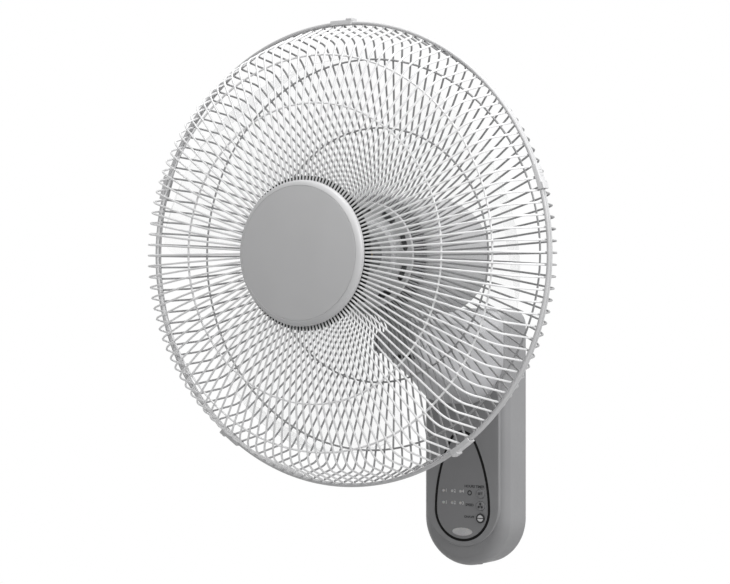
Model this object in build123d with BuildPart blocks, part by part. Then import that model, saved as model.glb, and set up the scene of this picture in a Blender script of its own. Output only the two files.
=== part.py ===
"""Wall mounted fan: wall box with control panel, arm, tilt and swing neck, motor, caged clear blade.

Frame: millimetres, +X to the right seen from the front, +Y into the wall, +Z up.
The origin is the centre of the mounting plate on the wall face, so the wall is the plane Y = 0.
Outlines of the head are given as (radius, forward): forward is measured from the hoop plane.
"""

import os
from math import asin, cos, degrees, radians, sin

from build123d import *

os.makedirs("parts", exist_ok=True)

# ---------------------------------------------------------------- driving sizes
HEAD_Z = 190.0  # height of the blade axis above the middle of the mounting plate
HOOP_Y = -283.0  # plane of the hoop, in front of the wall
NECK_F = -118.0  # swing axis, behind the hoop plane
TILT_Z = 102.0  # height of the tilt bolt

BASE_W = 101.0
BASE_H = 272.0
BASE_D = 46.0
BASE_WALL = 2.8
BASE_EDGE_R = 12.0
BASE_TOP_R = 18.0
PAD_D = 2.0  # raised flat field around the control panel
PAD_ROOT = 2.0  # depth that the field reaches into the rounded edges of the box
PAD_W = 88.0
PAD_BOTTOM = -115.0
PAD_TOP = 60.0

WIRE_R = 1.0
WIRE_COUNT = 120
RIM_R = 223.2  # centre line of the two rims that meet in the hoop plane
RIM_F = 1.87
RIM_WIRE_R = 1.85
CLIP_COUNT = 5
CLIP_FIRST = 18.0

SHAFT_R = 4.0
RUNNING_FIT = 0.05
SWING_SHAFT_R = 6.0
BLADE_TIP_R = 192.0
HUB_R = 43.0
MOTOR_R = 59.5
MOTOR_WALL = 2.6
MOTOR_BACK_F = -193.0

# ---------------------------------------------------------------- frames
HEAD = Plane(origin=(0, HOOP_Y, HEAD_Z), x_dir=(1, 0, 0), z_dir=(0, -1, 0))
MERIDIAN = Plane(origin=HEAD.origin, x_dir=(1, 0, 0), z_dir=(0, 0, -1))
HEAD_AXIS = Axis(HEAD.origin, (0, -1, 0))
SIDE = Plane(origin=(0, 0, 0), x_dir=(0, 1, 0), z_dir=(1, 0, 0))
FRONT = Plane.XZ  # local x right, local y up, normal towards the viewer
NECK_Y = HOOP_Y - NECK_F


def profile(*points):
    """Closed (radius, forward) outline in the half plane through the head axis."""
    with BuildSketch(MERIDIAN) as outline:
        with BuildLine():
            Polyline(*points, close=True)
        make_face()
    return outline.sketch


def save(piece, name):
    """Label one sub-part and write it to its own file."""
    piece.part.label = name
    export_step(piece.part, f"parts/{name}.step")


# ================================================================ wall box
BASE_ROUND_Z = -BASE_H / 2 + BASE_W / 2  # centre of the half round bottom


def base_outline(inset):
    """Front view of the wall box: half round bottom, small top corners."""
    half = BASE_W / 2 - inset
    top = BASE_H / 2 - inset
    with BuildSketch() as outline:
        with Locations((0, (top + BASE_ROUND_Z) / 2)):
            Rectangle(2 * half, top - BASE_ROUND_Z)
        fillet(outline.vertices().group_by(Axis.Y)[-1], BASE_TOP_R - inset)
        with Locations((0, BASE_ROUND_Z)):
            Circle(half)
    return outline.sketch


def pad_outline():
    """Raised field on the face of the wall box, with a half round bottom."""
    half = PAD_W / 2
    round_z = PAD_BOTTOM + half
    with BuildSketch() as outline:
        with Locations((0, (PAD_TOP + round_z) / 2)):
            Rectangle(PAD_W, PAD_TOP - round_z)
        with Locations((0, round_z)):
            Circle(half)
    return outline.sketch


EGG_HALF = 31.0  # widest half width, at the centre of the round lower end
EGG_ROUND_Z = -76.2
EGG_SHOULDER = (13.0, -3.0)
EGG_TOP = 5.0


def egg_outline(grow):
    """Egg shaped control panel, narrow end up, grown outwards by a margin."""
    shoulder_x, shoulder_z = EGG_SHOULDER
    with BuildSketch() as outline:
        with BuildLine():
            right = (EGG_HALF, EGG_ROUND_Z)
            left = (-EGG_HALF, EGG_ROUND_Z)
            ThreePointArc(left, (0, EGG_ROUND_Z - EGG_HALF), right)
            TangentArc(right, EGG_SHOULDER, tangent=(0, 1))
            ThreePointArc(EGG_SHOULDER, (0, EGG_TOP), (-shoulder_x, shoulder_z))
            TangentArc(left, (-shoulder_x, shoulder_z), tangent=(0, 1))
        make_face()
        if grow:
            offset(amount=grow)
    return outline.sketch


FACE_D = BASE_D + PAD_D  # distance of the raised field from the wall
POCKET_D = 3.4
GASKET_W = 2.4
GASKET_LIP = 0.7
GASKET_FLOOR = 0.6
FLOOR_D = FACE_D - POCKET_D
INSIDE_D = BASE_D - BASE_WALL
FLOOR_T = FLOOR_D - INSIDE_D

BUTTON_X = 22.0
BUTTON_ZS = {"button_timer": -58.5, "button_speed": -71.3, "button_power": -84.2}
BUTTON_R = 4.8
BUTTON_FLANGE_R = 5.6
BUTTON_FRONT_D = 48.9
LED_XS = (-22.6, -12.2, -2.2)
LED_ZS = (-56.8, -69.2)
LED_R = 1.5
IR_Z = -99.4
IR_W = 24.1
IR_H = 8.6
LED_SPOTS = [(x, z) for z in LED_ZS for x in LED_XS]
BUTTON_SPOTS = [(BUTTON_X, z) for z in BUTTON_ZS.values()]

ARM_SCREWS = [(-24, 104), (24, 104), (0, 54)]
BASE_SCREWS = [(-33, 118), (33, 118), (-33, -84), (33, -84)]
BASE_POST_R = 4.5
CABLE_Z = 76.0
CABLE_R = 8.0
INLET_Y = -18.0
INLET_R = 6.0
INLET_BORE_R = 3.4
INLET_PROUD = 0.3
INLET_DEPTH = 8.8
COVER_D = 2.4
COVER_T = 2.4

with BuildPart() as base_hollow:
    with BuildSketch(FRONT.offset(-1)):
        add(base_outline(BASE_WALL))
    extrude(amount=INSIDE_D + 1)
    fillet(base_hollow.faces().sort_by(Axis.Y)[0].edges(), BASE_EDGE_R - BASE_WALL)

with BuildPart() as base_housing:
    with BuildSketch(FRONT.offset(0.5)):
        add(base_outline(0))
    extrude(amount=BASE_D - 0.5)
    fillet(base_housing.faces().sort_by(Axis.Y)[0].edges(), BASE_EDGE_R)
    with BuildSketch(FRONT.offset(BASE_D - PAD_ROOT)):
        add(pad_outline())
    extrude(amount=PAD_ROOT + PAD_D)
    fillet(base_housing.faces().sort_by(Axis.Y)[0].edges(), PAD_D - 0.3)
    add(base_hollow.part, mode=Mode.SUBTRACT)
    # pocket for the panel and its gasket
    with BuildSketch(FRONT.offset(FLOOR_D)):
        add(egg_outline(GASKET_W))
    extrude(amount=POCKET_D + 1, mode=Mode.SUBTRACT)
    # ways through the pocket floor
    with BuildSketch(FRONT.offset(INSIDE_D - 1)):
        with Locations(*BUTTON_SPOTS):
            Circle(BUTTON_R + 0.3)
        with Locations(*LED_SPOTS):
            Circle(LED_R + 0.1)
        with Locations((0, IR_Z)):
            Ellipse(IR_W / 2 - 3, IR_H / 2 - 1.5)
    extrude(amount=FLOOR_T + 2, mode=Mode.SUBTRACT)
    # arm screws and the cable's way into the arm
    with BuildSketch(FRONT.offset(INSIDE_D - 1)):
        with Locations(*ARM_SCREWS):
            Circle(2.1)
        with Locations((0, CABLE_Z)):
            Circle(CABLE_R)
    extrude(amount=10, mode=Mode.SUBTRACT)
    # screw posts for the back cover
    with BuildSketch(FRONT.offset(COVER_D + COVER_T)):
        with Locations(*BASE_SCREWS):
            Circle(BASE_POST_R)
    extrude(amount=INSIDE_D - COVER_D - COVER_T + 0.5)
    with BuildSketch(FRONT.offset(COVER_D + COVER_T)):
        with Locations(*BASE_SCREWS):
            Circle(1.5)
    extrude(amount=20, mode=Mode.SUBTRACT)
    # hole for the cable inlet in the bottom
    with BuildSketch(Plane.XY.offset(-BASE_H / 2 - 1)):
        with Locations((0, INLET_Y)):
            Circle(INLET_R)
    extrude(amount=8, mode=Mode.SUBTRACT)
save(base_housing, "base_housing")

with BuildPart() as base_back:
    with BuildSketch(FRONT.offset(COVER_D)):
        add(base_outline(BASE_WALL + 0.3))
    extrude(amount=COVER_T)
    # stiffening rib around the edge
    with BuildSketch(FRONT.offset(COVER_D + COVER_T)):
        add(base_outline(BASE_WALL + 0.3))
        add(base_outline(BASE_WALL + 2.1), mode=Mode.SUBTRACT)
    extrude(amount=3)
    # windows that let the hooks of the mounting plate through
    with BuildSketch(FRONT.offset(COVER_D)):
        with Locations((0, 92), (0, -92)):
            Rectangle(44, 12)
        with Locations(*BASE_SCREWS):
            Circle(1.7)
    extrude(amount=COVER_T, mode=Mode.SUBTRACT)
    with BuildSketch(FRONT.offset(COVER_D)):
        with Locations(*BASE_SCREWS):
            Circle(3.2)
    extrude(amount=1.4, mode=Mode.SUBTRACT)
    with BuildSketch(Plane.XY.offset(-BASE_H / 2)):
        with Locations((0, INLET_Y)):
            Circle(INLET_R + 4)
    extrude(amount=16, mode=Mode.SUBTRACT)
save(base_back, "base_back")

WALL_HOLE_X = 50.0
WALL_HOLE_Z = 210.0
HOOK_OUTLINE = [(-2, 0), (-8.5, 0), (-8.5, 5.5), (-6.5, 5.5), (-6.5, 2), (-2, 2)]
with BuildPart() as wall_plate:
    with BuildSketch(FRONT):
        RectangleRounded(78, 236, 14)
        with GridLocations(WALL_HOLE_X, WALL_HOLE_Z, 2, 2):
            Circle(2.75, mode=Mode.SUBTRACT)
        with Locations((0, 40), (0, -40)):
            RectangleRounded(40, 50, 8, mode=Mode.SUBTRACT)
    extrude(amount=2)
    # two hooks bent forward that carry the box
    for hook_z in (90, -94):
        with BuildSketch(SIDE.offset(-18)):
            with BuildLine():
                Polyline(*[(y, z + hook_z) for y, z in HOOK_OUTLINE], close=True)
            make_face()
        extrude(amount=36)
save(wall_plate, "wall_plate")

with BuildPart() as base_screws:
    with BuildSketch(FRONT.offset(COVER_D + 0.05)):
        with Locations(*BASE_SCREWS):
            Circle(3.0)
    extrude(amount=1.3)
    with BuildSketch(FRONT.offset(COVER_D + 1.35)):
        with Locations(*BASE_SCREWS):
            Circle(1.45)
    extrude(amount=14)
    with BuildSketch(FRONT.offset(COVER_D)):
        with Locations(*BASE_SCREWS):
            Rectangle(4.2, 0.8)
            Rectangle(0.8, 4.2)
    extrude(amount=0.7, mode=Mode.SUBTRACT)
save(base_screws, "base_screws")

with BuildPart() as cable_inlet:
    with BuildSketch(Plane.XY.offset(-BASE_H / 2 - INLET_PROUD)):
        with Locations((0, INLET_Y)):
            Circle(INLET_R + 1.2)
            Circle(INLET_BORE_R, mode=Mode.SUBTRACT)
    extrude(amount=1.2)
    with BuildSketch(Plane.XY.offset(-BASE_H / 2)):
        with Locations((0, INLET_Y)):
            Circle(INLET_R - 0.05)
            Circle(INLET_BORE_R, mode=Mode.SUBTRACT)
    extrude(amount=INLET_DEPTH)
    add(base_housing.part, mode=Mode.SUBTRACT)
save(cable_inlet, "cable_inlet")

# ================================================================ control panel
with BuildPart() as panel_gasket:
    with BuildSketch(FRONT.offset(FLOOR_D)):
        add(egg_outline(GASKET_W - 0.05))
        add(egg_outline(0), mode=Mode.SUBTRACT)
    extrude(amount=GASKET_FLOOR)
    # lip that stands up around the panel and leaves a black groove outside it
    with BuildSketch(FRONT.offset(FLOOR_D)):
        add(egg_outline(GASKET_LIP))
        add(egg_outline(0), mode=Mode.SUBTRACT)
    extrude(amount=POCKET_D - 0.4)
save(panel_gasket, "panel_gasket")

with BuildPart() as control_panel:
    with BuildSketch(FRONT.offset(FLOOR_D)):
        add(egg_outline(0))
    extrude(amount=POCKET_D + 0.1)
    chamfer(control_panel.faces().sort_by(Axis.Y)[0].edges(), 0.4)
    with BuildSketch(FRONT.offset(FLOOR_D)):
        with Locations(*BUTTON_SPOTS):
            Circle(BUTTON_R + 0.3)
        with Locations(*LED_SPOTS):
            Circle(LED_R + 0.05)
        with Locations((0, IR_Z)):
            Ellipse(IR_W / 2, IR_H / 2)
    extrude(amount=POCKET_D + 1, mode=Mode.SUBTRACT)
save(control_panel, "control_panel")

with BuildPart() as ir_window:
    with BuildSketch(FRONT.offset(FLOOR_D)):
        with Locations((0, IR_Z)):
            Ellipse(IR_W / 2 - 0.05, IR_H / 2 - 0.05)
    extrude(amount=POCKET_D + 0.5)
    fillet(ir_window.faces().sort_by(Axis.Y)[0].edges(), 0.35)
save(ir_window, "ir_window")

with BuildPart() as indicator_leds:
    with BuildSketch(FRONT.offset(INSIDE_D - 0.6)):
        with Locations(*LED_SPOTS):
            Circle(LED_R)
    extrude(amount=FACE_D - INSIDE_D + 1.0)
save(indicator_leds, "indicator_leds")

for button_name, button_z in BUTTON_ZS.items():
    with BuildPart() as button:
        with BuildSketch(FRONT.offset(41.2)):
            with Locations((BUTTON_X, button_z)):
                Circle(BUTTON_R)
        extrude(amount=BUTTON_FRONT_D - 41.2)
        fillet(button.faces().sort_by(Axis.Y)[0].edges(), 0.5)
        with BuildSketch(FRONT.offset(41.2)):
            with Locations((BUTTON_X, button_z)):
                Circle(BUTTON_FLANGE_R)
        extrude(amount=INSIDE_D - 41.2 - 0.2)
    save(button, button_name)

BOARD_D = 33.0
BOARD_T = 1.6
SWITCH_TOP_D = 40.0
with BuildPart() as control_board:
    with BuildSketch(FRONT.offset(BOARD_D)):
        with Locations((0, -62)):
            RectangleRounded(72, 82, 4)
        with Locations(*[(x, z) for x in (-31, 31) for z in (-26, -98)]):
            Circle(1.6, mode=Mode.SUBTRACT)
        with Locations(*BASE_SCREWS[2:]):
            Circle(BASE_POST_R + 1, mode=Mode.SUBTRACT)
    extrude(amount=BOARD_T)
save(control_board, "control_board")

with BuildPart() as tact_switches:
    with BuildSketch(FRONT.offset(BOARD_D + BOARD_T)):
        with Locations(*BUTTON_SPOTS):
            Rectangle(6.2, 6.2)
    extrude(amount=3.6)
    with BuildSketch(FRONT.offset(BOARD_D + BOARD_T + 3.6)):
        with Locations(*BUTTON_SPOTS):
            Circle(1.7)
    extrude(amount=SWITCH_TOP_D - BOARD_D - BOARD_T - 3.6)
save(tact_switches, "tact_switches")

with BuildPart() as board_parts:
    with BuildSketch(FRONT.offset(BOARD_D + BOARD_T)):
        with Locations((-14, -38)):
            Rectangle(16, 16)
        with Locations((0, IR_Z + 2)):
            Rectangle(8, 6)
    extrude(amount=4.5)
    with BuildSketch(FRONT.offset(BOARD_D + BOARD_T)):
        with Locations((12, -34), (-22, -88)):
            Circle(4)
    extrude(amount=7)
save(board_parts, "board_parts")

# ================================================================ arm
NOSE_HALF = 22.0
FORK_HALF = 13.5
NOSE_F = -100.0
# forward position, half width, top and bottom heights, top and bottom corner radii of the arm's sections
ARM_SECTIONS = [
    (NOSE_F, NOSE_HALF, 112.0, 102.0, 4.0, 4.0),
    (-127.0, 21.0, 117.5, 78.0, 8.0, 9.0),
    (-165.0, 24.0, 119.5, 60.0, 11.0, 11.0),
    (-200.0, 34.0, 122.5, 43.0, 14.0, 18.0),
    (HOOP_Y + BASE_D, 46.6, 134.0, 38.0, 17.0, 44.0),
]
ARM_WALL = 4.0
SKIRT_D = 2.6  # reach of the arm past the face, onto the rounded edges of the box
SKIRT_W = 10.5
FLANGE_INSET = 3.5


def arm_section(section, inset):
    """One section of the arm: a rectangle with its own top and bottom corner radii."""
    _, half, top, bottom, top_r, bottom_r = section
    with BuildSketch() as outline:
        with Locations((0, (top + bottom) / 2)):
            Rectangle(2 * (half - inset), top - bottom - 2 * inset)
        fillet(outline.vertices().group_by(Axis.Y)[-1], top_r - inset)
        fillet(outline.vertices().group_by(Axis.Y)[0], bottom_r - inset)
    return outline.sketch


def arm_loft(sections, inset):
    """Smooth body through the sections, all shrunk by the same wall."""
    with BuildPart() as body:
        for section in sections:
            with BuildSketch(FRONT.offset(-HOOP_Y + section[0])):
                add(arm_section(section, inset))
        loft()
    return body.part


with BuildPart() as arm:
    add(arm_loft(ARM_SECTIONS, 0))
    add(arm_loft(ARM_SECTIONS[2:], ARM_WALL), mode=Mode.SUBTRACT)
    # flange that the screws from inside the box bite into
    with BuildSketch(FRONT.offset(BASE_D)):
        add(arm_section(ARM_SECTIONS[-1], FLANGE_INSET))
    extrude(amount=7)
    # skirt that closes the gap over the rounded edges of the box
    with BuildSketch(FRONT.offset(BASE_D - SKIRT_D)):
        add(arm_section(ARM_SECTIONS[-1], 0))
        add(arm_section(ARM_SECTIONS[-1], SKIRT_W), mode=Mode.SUBTRACT)
    extrude(amount=SKIRT_D)
    with BuildSketch(FRONT.offset(BASE_D)):
        with Locations((0, CABLE_Z)):
            Circle(CABLE_R)
    extrude(amount=8, mode=Mode.SUBTRACT)
    # fork for the tilting lug
    with BuildSketch(SIDE.offset(-FORK_HALF)):
        with BuildLine():
            Polyline(
                (NECK_Y - 30, 86),
                (NECK_Y + 6, 86),
                (NECK_Y + 18, 100),
                (NECK_Y + 18, 130),
                (NECK_Y - 30, 130),
                close=True,
            )
        make_face()
    extrude(amount=2 * FORK_HALF, mode=Mode.SUBTRACT)
    # tilt bolt bore with a recess for its head
    with BuildSketch(SIDE.offset(-60)):
        with Locations((NECK_Y, TILT_Z)):
            Circle(SHAFT_R + RUNNING_FIT)
    extrude(amount=120, mode=Mode.SUBTRACT)
    with BuildSketch(SIDE.offset(18)):
        with Locations((NECK_Y, TILT_Z)):
            Circle(7.2)
    extrude(amount=10, mode=Mode.SUBTRACT)
    # seat for the knob on the other cheek
    with BuildSketch(SIDE.offset(-20)):
        with Locations((NECK_Y, TILT_Z)):
            Circle(12)
    extrude(amount=-20, mode=Mode.SUBTRACT)
    # room for the raised field of the box
    with BuildSketch(FRONT.offset(BASE_D - 1)):
        add(pad_outline())
    extrude(amount=PAD_D + 1, mode=Mode.SUBTRACT)
    # screw bores
    with BuildSketch(FRONT.offset(BASE_D - 1)):
        with Locations(*ARM_SCREWS):
            Circle(1.5)
    extrude(amount=9, mode=Mode.SUBTRACT)
    add(base_housing.part, mode=Mode.SUBTRACT)
save(arm, "arm")

with BuildPart() as arm_screws:
    with BuildSketch(FRONT.offset(INSIDE_D - 2.6)):
        with Locations(*ARM_SCREWS):
            Circle(4.0)
    extrude(amount=2.6)
    with BuildSketch(FRONT.offset(INSIDE_D)):
        with Locations(*ARM_SCREWS):
            Circle(1.45)
    extrude(amount=9)
    with BuildSketch(FRONT.offset(INSIDE_D - 2.6)):
        with Locations(*ARM_SCREWS):
            Rectangle(5, 1)
            Rectangle(1, 5)
    extrude(amount=1.2, mode=Mode.SUBTRACT)
save(arm_screws, "arm_screws")

with BuildPart() as tilt_bolt:
    with BuildSketch(SIDE.offset(-33)):
        with Locations((NECK_Y, TILT_Z)):
            Circle(SHAFT_R)
    extrude(amount=33 + 18)
    with BuildSketch(SIDE.offset(18)):
        with Locations((NECK_Y, TILT_Z)):
            RegularPolygon(6.6, 6)
    extrude(amount=3.4)
save(tilt_bolt, "tilt_bolt")

KNOB_R = 11.0
with BuildPart() as tilt_knob:
    with BuildSketch(SIDE.offset(-20.2)):
        with Locations((NECK_Y, TILT_Z)):
            Circle(KNOB_R)
            with PolarLocations(KNOB_R + 1.2, 12):
                Circle(2.0, mode=Mode.SUBTRACT)
    extrude(amount=-12)
    fillet(tilt_knob.faces().sort_by(Axis.X)[0].edges(), 0.8)
    with BuildSketch(SIDE.offset(-20.2)):
        with Locations((NECK_Y, TILT_Z)):
            Circle(SHAFT_R + RUNNING_FIT)
    extrude(amount=-12, mode=Mode.SUBTRACT)
save(tilt_knob, "tilt_knob")

# ================================================================ tilting yoke
DISC_R = 26.0
DISC_Z = 123.0
DISC_T = 5.0
LUG_R = 12.0
LUG_HALF = FORK_HALF - 0.3
with BuildPart() as tilt_yoke:
    with BuildSketch(Plane.XY.offset(DISC_Z)):
        with Locations((0, NECK_Y)):
            Circle(DISC_R)
    extrude(amount=DISC_T)
    fillet(tilt_yoke.faces().sort_by(Axis.Z)[-1].edges(), 1.5)
    with BuildSketch(SIDE.offset(-LUG_HALF)):
        with Locations((NECK_Y, TILT_Z)):
            Circle(LUG_R)
        with Locations((NECK_Y, (TILT_Z + DISC_Z) / 2)):
            Rectangle(2 * LUG_R, DISC_Z - TILT_Z)
    extrude(amount=2 * LUG_HALF)
    with BuildSketch(SIDE.offset(-LUG_HALF)):
        with Locations((NECK_Y, TILT_Z)):
            Circle(SHAFT_R + RUNNING_FIT)
    extrude(amount=2 * LUG_HALF, mode=Mode.SUBTRACT)
    with BuildSketch(Plane.XY.offset(DISC_Z + DISC_T)):
        with Locations((0, NECK_Y)):
            Circle(SWING_SHAFT_R)
    extrude(amount=-13, mode=Mode.SUBTRACT)
save(tilt_yoke, "tilt_yoke")

CHIN_Z = DISC_Z + DISC_T + 0.9
CHIN_FLOOR = 2.4
with BuildPart() as swing_washer:
    with BuildSketch(Plane.XY.offset(DISC_Z + DISC_T)):
        with Locations((0, NECK_Y)):
            Circle(DISC_R - 3)
            Circle(SWING_SHAFT_R, mode=Mode.SUBTRACT)
    extrude(amount=0.6)
save(swing_washer, "swing_washer")

CAN_R = 20.0
CAN_H = 11.0
SWING_SHAFT_TOP = CHIN_Z + CHIN_FLOOR + CAN_H - 2.5
with BuildPart() as swing_shaft:
    with BuildSketch(Plane.XY.offset(DISC_Z + DISC_T - 13)):
        with Locations((0, NECK_Y)):
            Circle(SWING_SHAFT_R)
    extrude(amount=SWING_SHAFT_TOP - (DISC_Z + DISC_T - 13))
    chamfer(swing_shaft.faces().sort_by(Axis.Z)[-1].edges(), 0.8)
save(swing_shaft, "swing_shaft")

# ================================================================ motor
BELL_BACK_F = -88.0
BELL_R = 56.4
BELL_FLAT_R = 46.0
SHROUD_FRONT_F = -58.3
CHIN_R = 27.0
CHIN_WALL = 2.6
with BuildPart() as motor_rear_housing:
    revolve(
        profile(
            (0, MOTOR_BACK_F),
            (MOTOR_R - 0.6, MOTOR_BACK_F),
            (MOTOR_R, SHROUD_FRONT_F),
            (0, SHROUD_FRONT_F),
        ),
        axis=HEAD_AXIS,
    )
    fillet(motor_rear_housing.faces().sort_by(Axis.Y)[-1].edges(), 8)
    with BuildSketch(Plane.XY.offset(CHIN_Z)):
        with Locations((0, NECK_Y)):
            Circle(CHIN_R)
    extrude(amount=HEAD_Z - CHIN_Z - 20)
    revolve(
        profile(
            (0, MOTOR_BACK_F + MOTOR_WALL),
            (MOTOR_R - MOTOR_WALL - 9, MOTOR_BACK_F + MOTOR_WALL),
            (MOTOR_R - MOTOR_WALL - 3.2, MOTOR_BACK_F + MOTOR_WALL + 2.6),
            (MOTOR_R - MOTOR_WALL - 0.6, MOTOR_BACK_F + MOTOR_WALL + 9),
            (MOTOR_R - MOTOR_WALL, SHROUD_FRONT_F),
            (MOTOR_R - MOTOR_WALL, SHROUD_FRONT_F + 10),
            (0, SHROUD_FRONT_F + 10),
        ),
        axis=HEAD_AXIS,
        mode=Mode.SUBTRACT,
    )
    with BuildSketch(Plane.XY.offset(CHIN_Z + CHIN_FLOOR)):
        with Locations((0, NECK_Y)):
            Circle(CHIN_R - CHIN_WALL)
    extrude(amount=16, mode=Mode.SUBTRACT)
    with BuildSketch(Plane.XY.offset(CHIN_Z - 1)):
        with Locations((0, NECK_Y)):
            Circle(SWING_SHAFT_R + RUNNING_FIT)
    extrude(amount=10, mode=Mode.SUBTRACT)
    # cooling slots in the back
    with BuildSketch(HEAD.offset(MOTOR_BACK_F - 1)):
        with PolarLocations(25, 16):
            SlotOverall(18, 3.2)
    extrude(amount=12, mode=Mode.SUBTRACT)
save(motor_rear_housing, "motor_rear_housing")

SNOUT_R = 20.0
SNOUT_F = -39.2
PLATE_BACK_F = -46.6
PLATE_FRONT_F = -44.0
BOLT_CIRCLE_R = 42.5
BOLT_HEAD_R = 2.8
BOLT_HEAD_T = 1.4
with BuildPart() as motor_front_bell:
    revolve(
        profile(
            (9.0, SNOUT_F),
            (SNOUT_R, SNOUT_F),
            (SNOUT_R, PLATE_BACK_F),
            (BELL_FLAT_R, PLATE_BACK_F),
            (BELL_R, PLATE_BACK_F - 9.6),
            (BELL_R, BELL_BACK_F),
            (BELL_R - MOTOR_WALL, BELL_BACK_F),
            (BELL_R - MOTOR_WALL, PLATE_BACK_F - 10.8),
            (BELL_FLAT_R - 1.2, PLATE_BACK_F - 2.8),
            (9.0, PLATE_BACK_F - 2.8),
        ),
        axis=HEAD_AXIS,
    )
    # pockets and bores of the through bolts
    with BuildSketch(HEAD.offset(PLATE_BACK_F)):
        with PolarLocations(BOLT_CIRCLE_R, 4, start_angle=45):
            Circle(BOLT_HEAD_R + 0.2)
    extrude(amount=-BOLT_HEAD_T - 0.1, mode=Mode.SUBTRACT)
    with BuildSketch(HEAD.offset(PLATE_BACK_F - 4)):
        with PolarLocations(BOLT_CIRCLE_R, 4, start_angle=45):
            Circle(1.7)
    extrude(amount=10, mode=Mode.SUBTRACT)
    with BuildSketch(HEAD.offset(PLATE_BACK_F - 4)):
        with PolarLocations(31, 18, start_angle=10):
            SlotOverall(12, 3)
    extrude(amount=10, mode=Mode.SUBTRACT)
save(motor_front_bell, "motor_front_bell")

with BuildPart() as motor_screws:
    with BuildSketch(HEAD.offset(PLATE_BACK_F - 0.1)):
        with PolarLocations(BOLT_CIRCLE_R, 4, start_angle=45):
            Circle(BOLT_HEAD_R)
    extrude(amount=-BOLT_HEAD_T)
    with BuildSketch(HEAD.offset(PLATE_BACK_F - BOLT_HEAD_T)):
        with PolarLocations(BOLT_CIRCLE_R, 4, start_angle=45):
            Circle(1.6)
    extrude(amount=-24)
    with BuildSketch(HEAD.offset(PLATE_BACK_F - 0.1)):
        with PolarLocations(BOLT_CIRCLE_R, 4, start_angle=45):
            Rectangle(3.6, 0.8)
            Rectangle(0.8, 3.6)
    extrude(amount=-0.8, mode=Mode.SUBTRACT)
save(motor_screws, "motor_screws")

STATOR_R = 44.0
ROTOR_R = 28.0
CORE_FRONT_F = -90.0
CORE_BACK_F = -136.0
with BuildPart() as stator_core:
    with BuildSketch(HEAD.offset(CORE_BACK_F)):
        Circle(STATOR_R)
        Circle(ROTOR_R + 0.4, mode=Mode.SUBTRACT)
        with PolarLocations(34.5, 16):
            SlotOverall(9, 5, mode=Mode.SUBTRACT)
    extrude(amount=CORE_FRONT_F - CORE_BACK_F)
save(stator_core, "stator_core")

with BuildPart() as stator_windings:
    for start, end in ((CORE_FRONT_F, CORE_FRONT_F + 9), (CORE_BACK_F - 9, CORE_BACK_F)):
        revolve(
            profile((30, start), (39.5, start), (39.5, end), (30, end)), axis=HEAD_AXIS
        )
    fillet(stator_windings.edges().filter_by(GeomType.CIRCLE), 2.5)
save(stator_windings, "stator_windings")

with BuildPart() as rotor_core:
    revolve(
        profile(
            (SHAFT_R, CORE_BACK_F),
            (ROTOR_R, CORE_BACK_F),
            (ROTOR_R, CORE_FRONT_F),
            (SHAFT_R, CORE_FRONT_F),
        ),
        axis=HEAD_AXIS,
    )
save(rotor_core, "rotor_core")

SHAFT_FRONT_F = 38.0
SHAFT_BACK_F = -160.0
PIN_F = -20.0
PIN_R = 1.5
with BuildPart() as motor_shaft:
    revolve(
        profile(
            (0, SHAFT_BACK_F),
            (SHAFT_R, SHAFT_BACK_F),
            (SHAFT_R, SHAFT_FRONT_F - 0.8),
            (SHAFT_R - 0.8, SHAFT_FRONT_F),
            (0, SHAFT_FRONT_F),
        ),
        axis=HEAD_AXIS,
    )
    with Locations(Location((0, HOOP_Y - PIN_F, HEAD_Z), (0, 90, 0))):
        Cylinder(PIN_R, 20, mode=Mode.SUBTRACT)
save(motor_shaft, "motor_shaft")

with BuildPart() as drive_pin:
    with Locations(Location((0, HOOP_Y - PIN_F, HEAD_Z), (0, 90, 0))):
        Cylinder(PIN_R, 20)
save(drive_pin, "drive_pin")

with BuildPart() as front_bearing:
    revolve(
        profile(
            (SHAFT_R + RUNNING_FIT, SNOUT_F - 1),
            (9.0, SNOUT_F - 1),
            (9.0, SNOUT_F - 14),
            (SHAFT_R + RUNNING_FIT, SNOUT_F - 14),
        ),
        axis=HEAD_AXIS,
    )
save(front_bearing, "front_bearing")

BRACKET_F = -150.0
with BuildPart() as bearing_bracket:
    with BuildSketch(HEAD.offset(BRACKET_F)):
        Circle(MOTOR_R - MOTOR_WALL - 3)
        Circle(9.0, mode=Mode.SUBTRACT)
        with PolarLocations(30, 6):
            Circle(8, mode=Mode.SUBTRACT)
    extrude(amount=2.5)
    with BuildSketch(HEAD.offset(BRACKET_F)):
        Circle(13)
        Circle(9.0, mode=Mode.SUBTRACT)
    extrude(amount=-7)
save(bearing_bracket, "bearing_bracket")

with BuildPart() as rear_bearing:
    revolve(
        profile(
            (SHAFT_R + RUNNING_FIT, BRACKET_F + 2),
            (9.0, BRACKET_F + 2),
            (9.0, BRACKET_F - 7),
            (SHAFT_R + RUNNING_FIT, BRACKET_F - 7),
        ),
        axis=HEAD_AXIS,
    )
save(rear_bearing, "rear_bearing")

with BuildPart() as run_capacitor:
    with BuildSketch(HEAD.offset(-188)):
        with Locations((0, 20)):
            RectangleRounded(36, 17, 3)
    extrude(amount=26)
save(run_capacitor, "run_capacitor")

with BuildPart() as swing_motor:
    with BuildSketch(Plane.XY.offset(CHIN_Z + CHIN_FLOOR)):
        with Locations((0, NECK_Y)):
            Circle(CAN_R)
    extrude(amount=CAN_H)
    fillet(swing_motor.faces().sort_by(Axis.Z)[-1].edges(), 1.5)
    with BuildSketch(Plane.XY.offset(CHIN_Z + CHIN_FLOOR)):
        with Locations((0, NECK_Y)):
            Circle(SWING_SHAFT_R + RUNNING_FIT)
    extrude(amount=SWING_SHAFT_TOP - CHIN_Z - CHIN_FLOOR + 0.5, mode=Mode.SUBTRACT)
save(swing_motor, "swing_motor")

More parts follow.
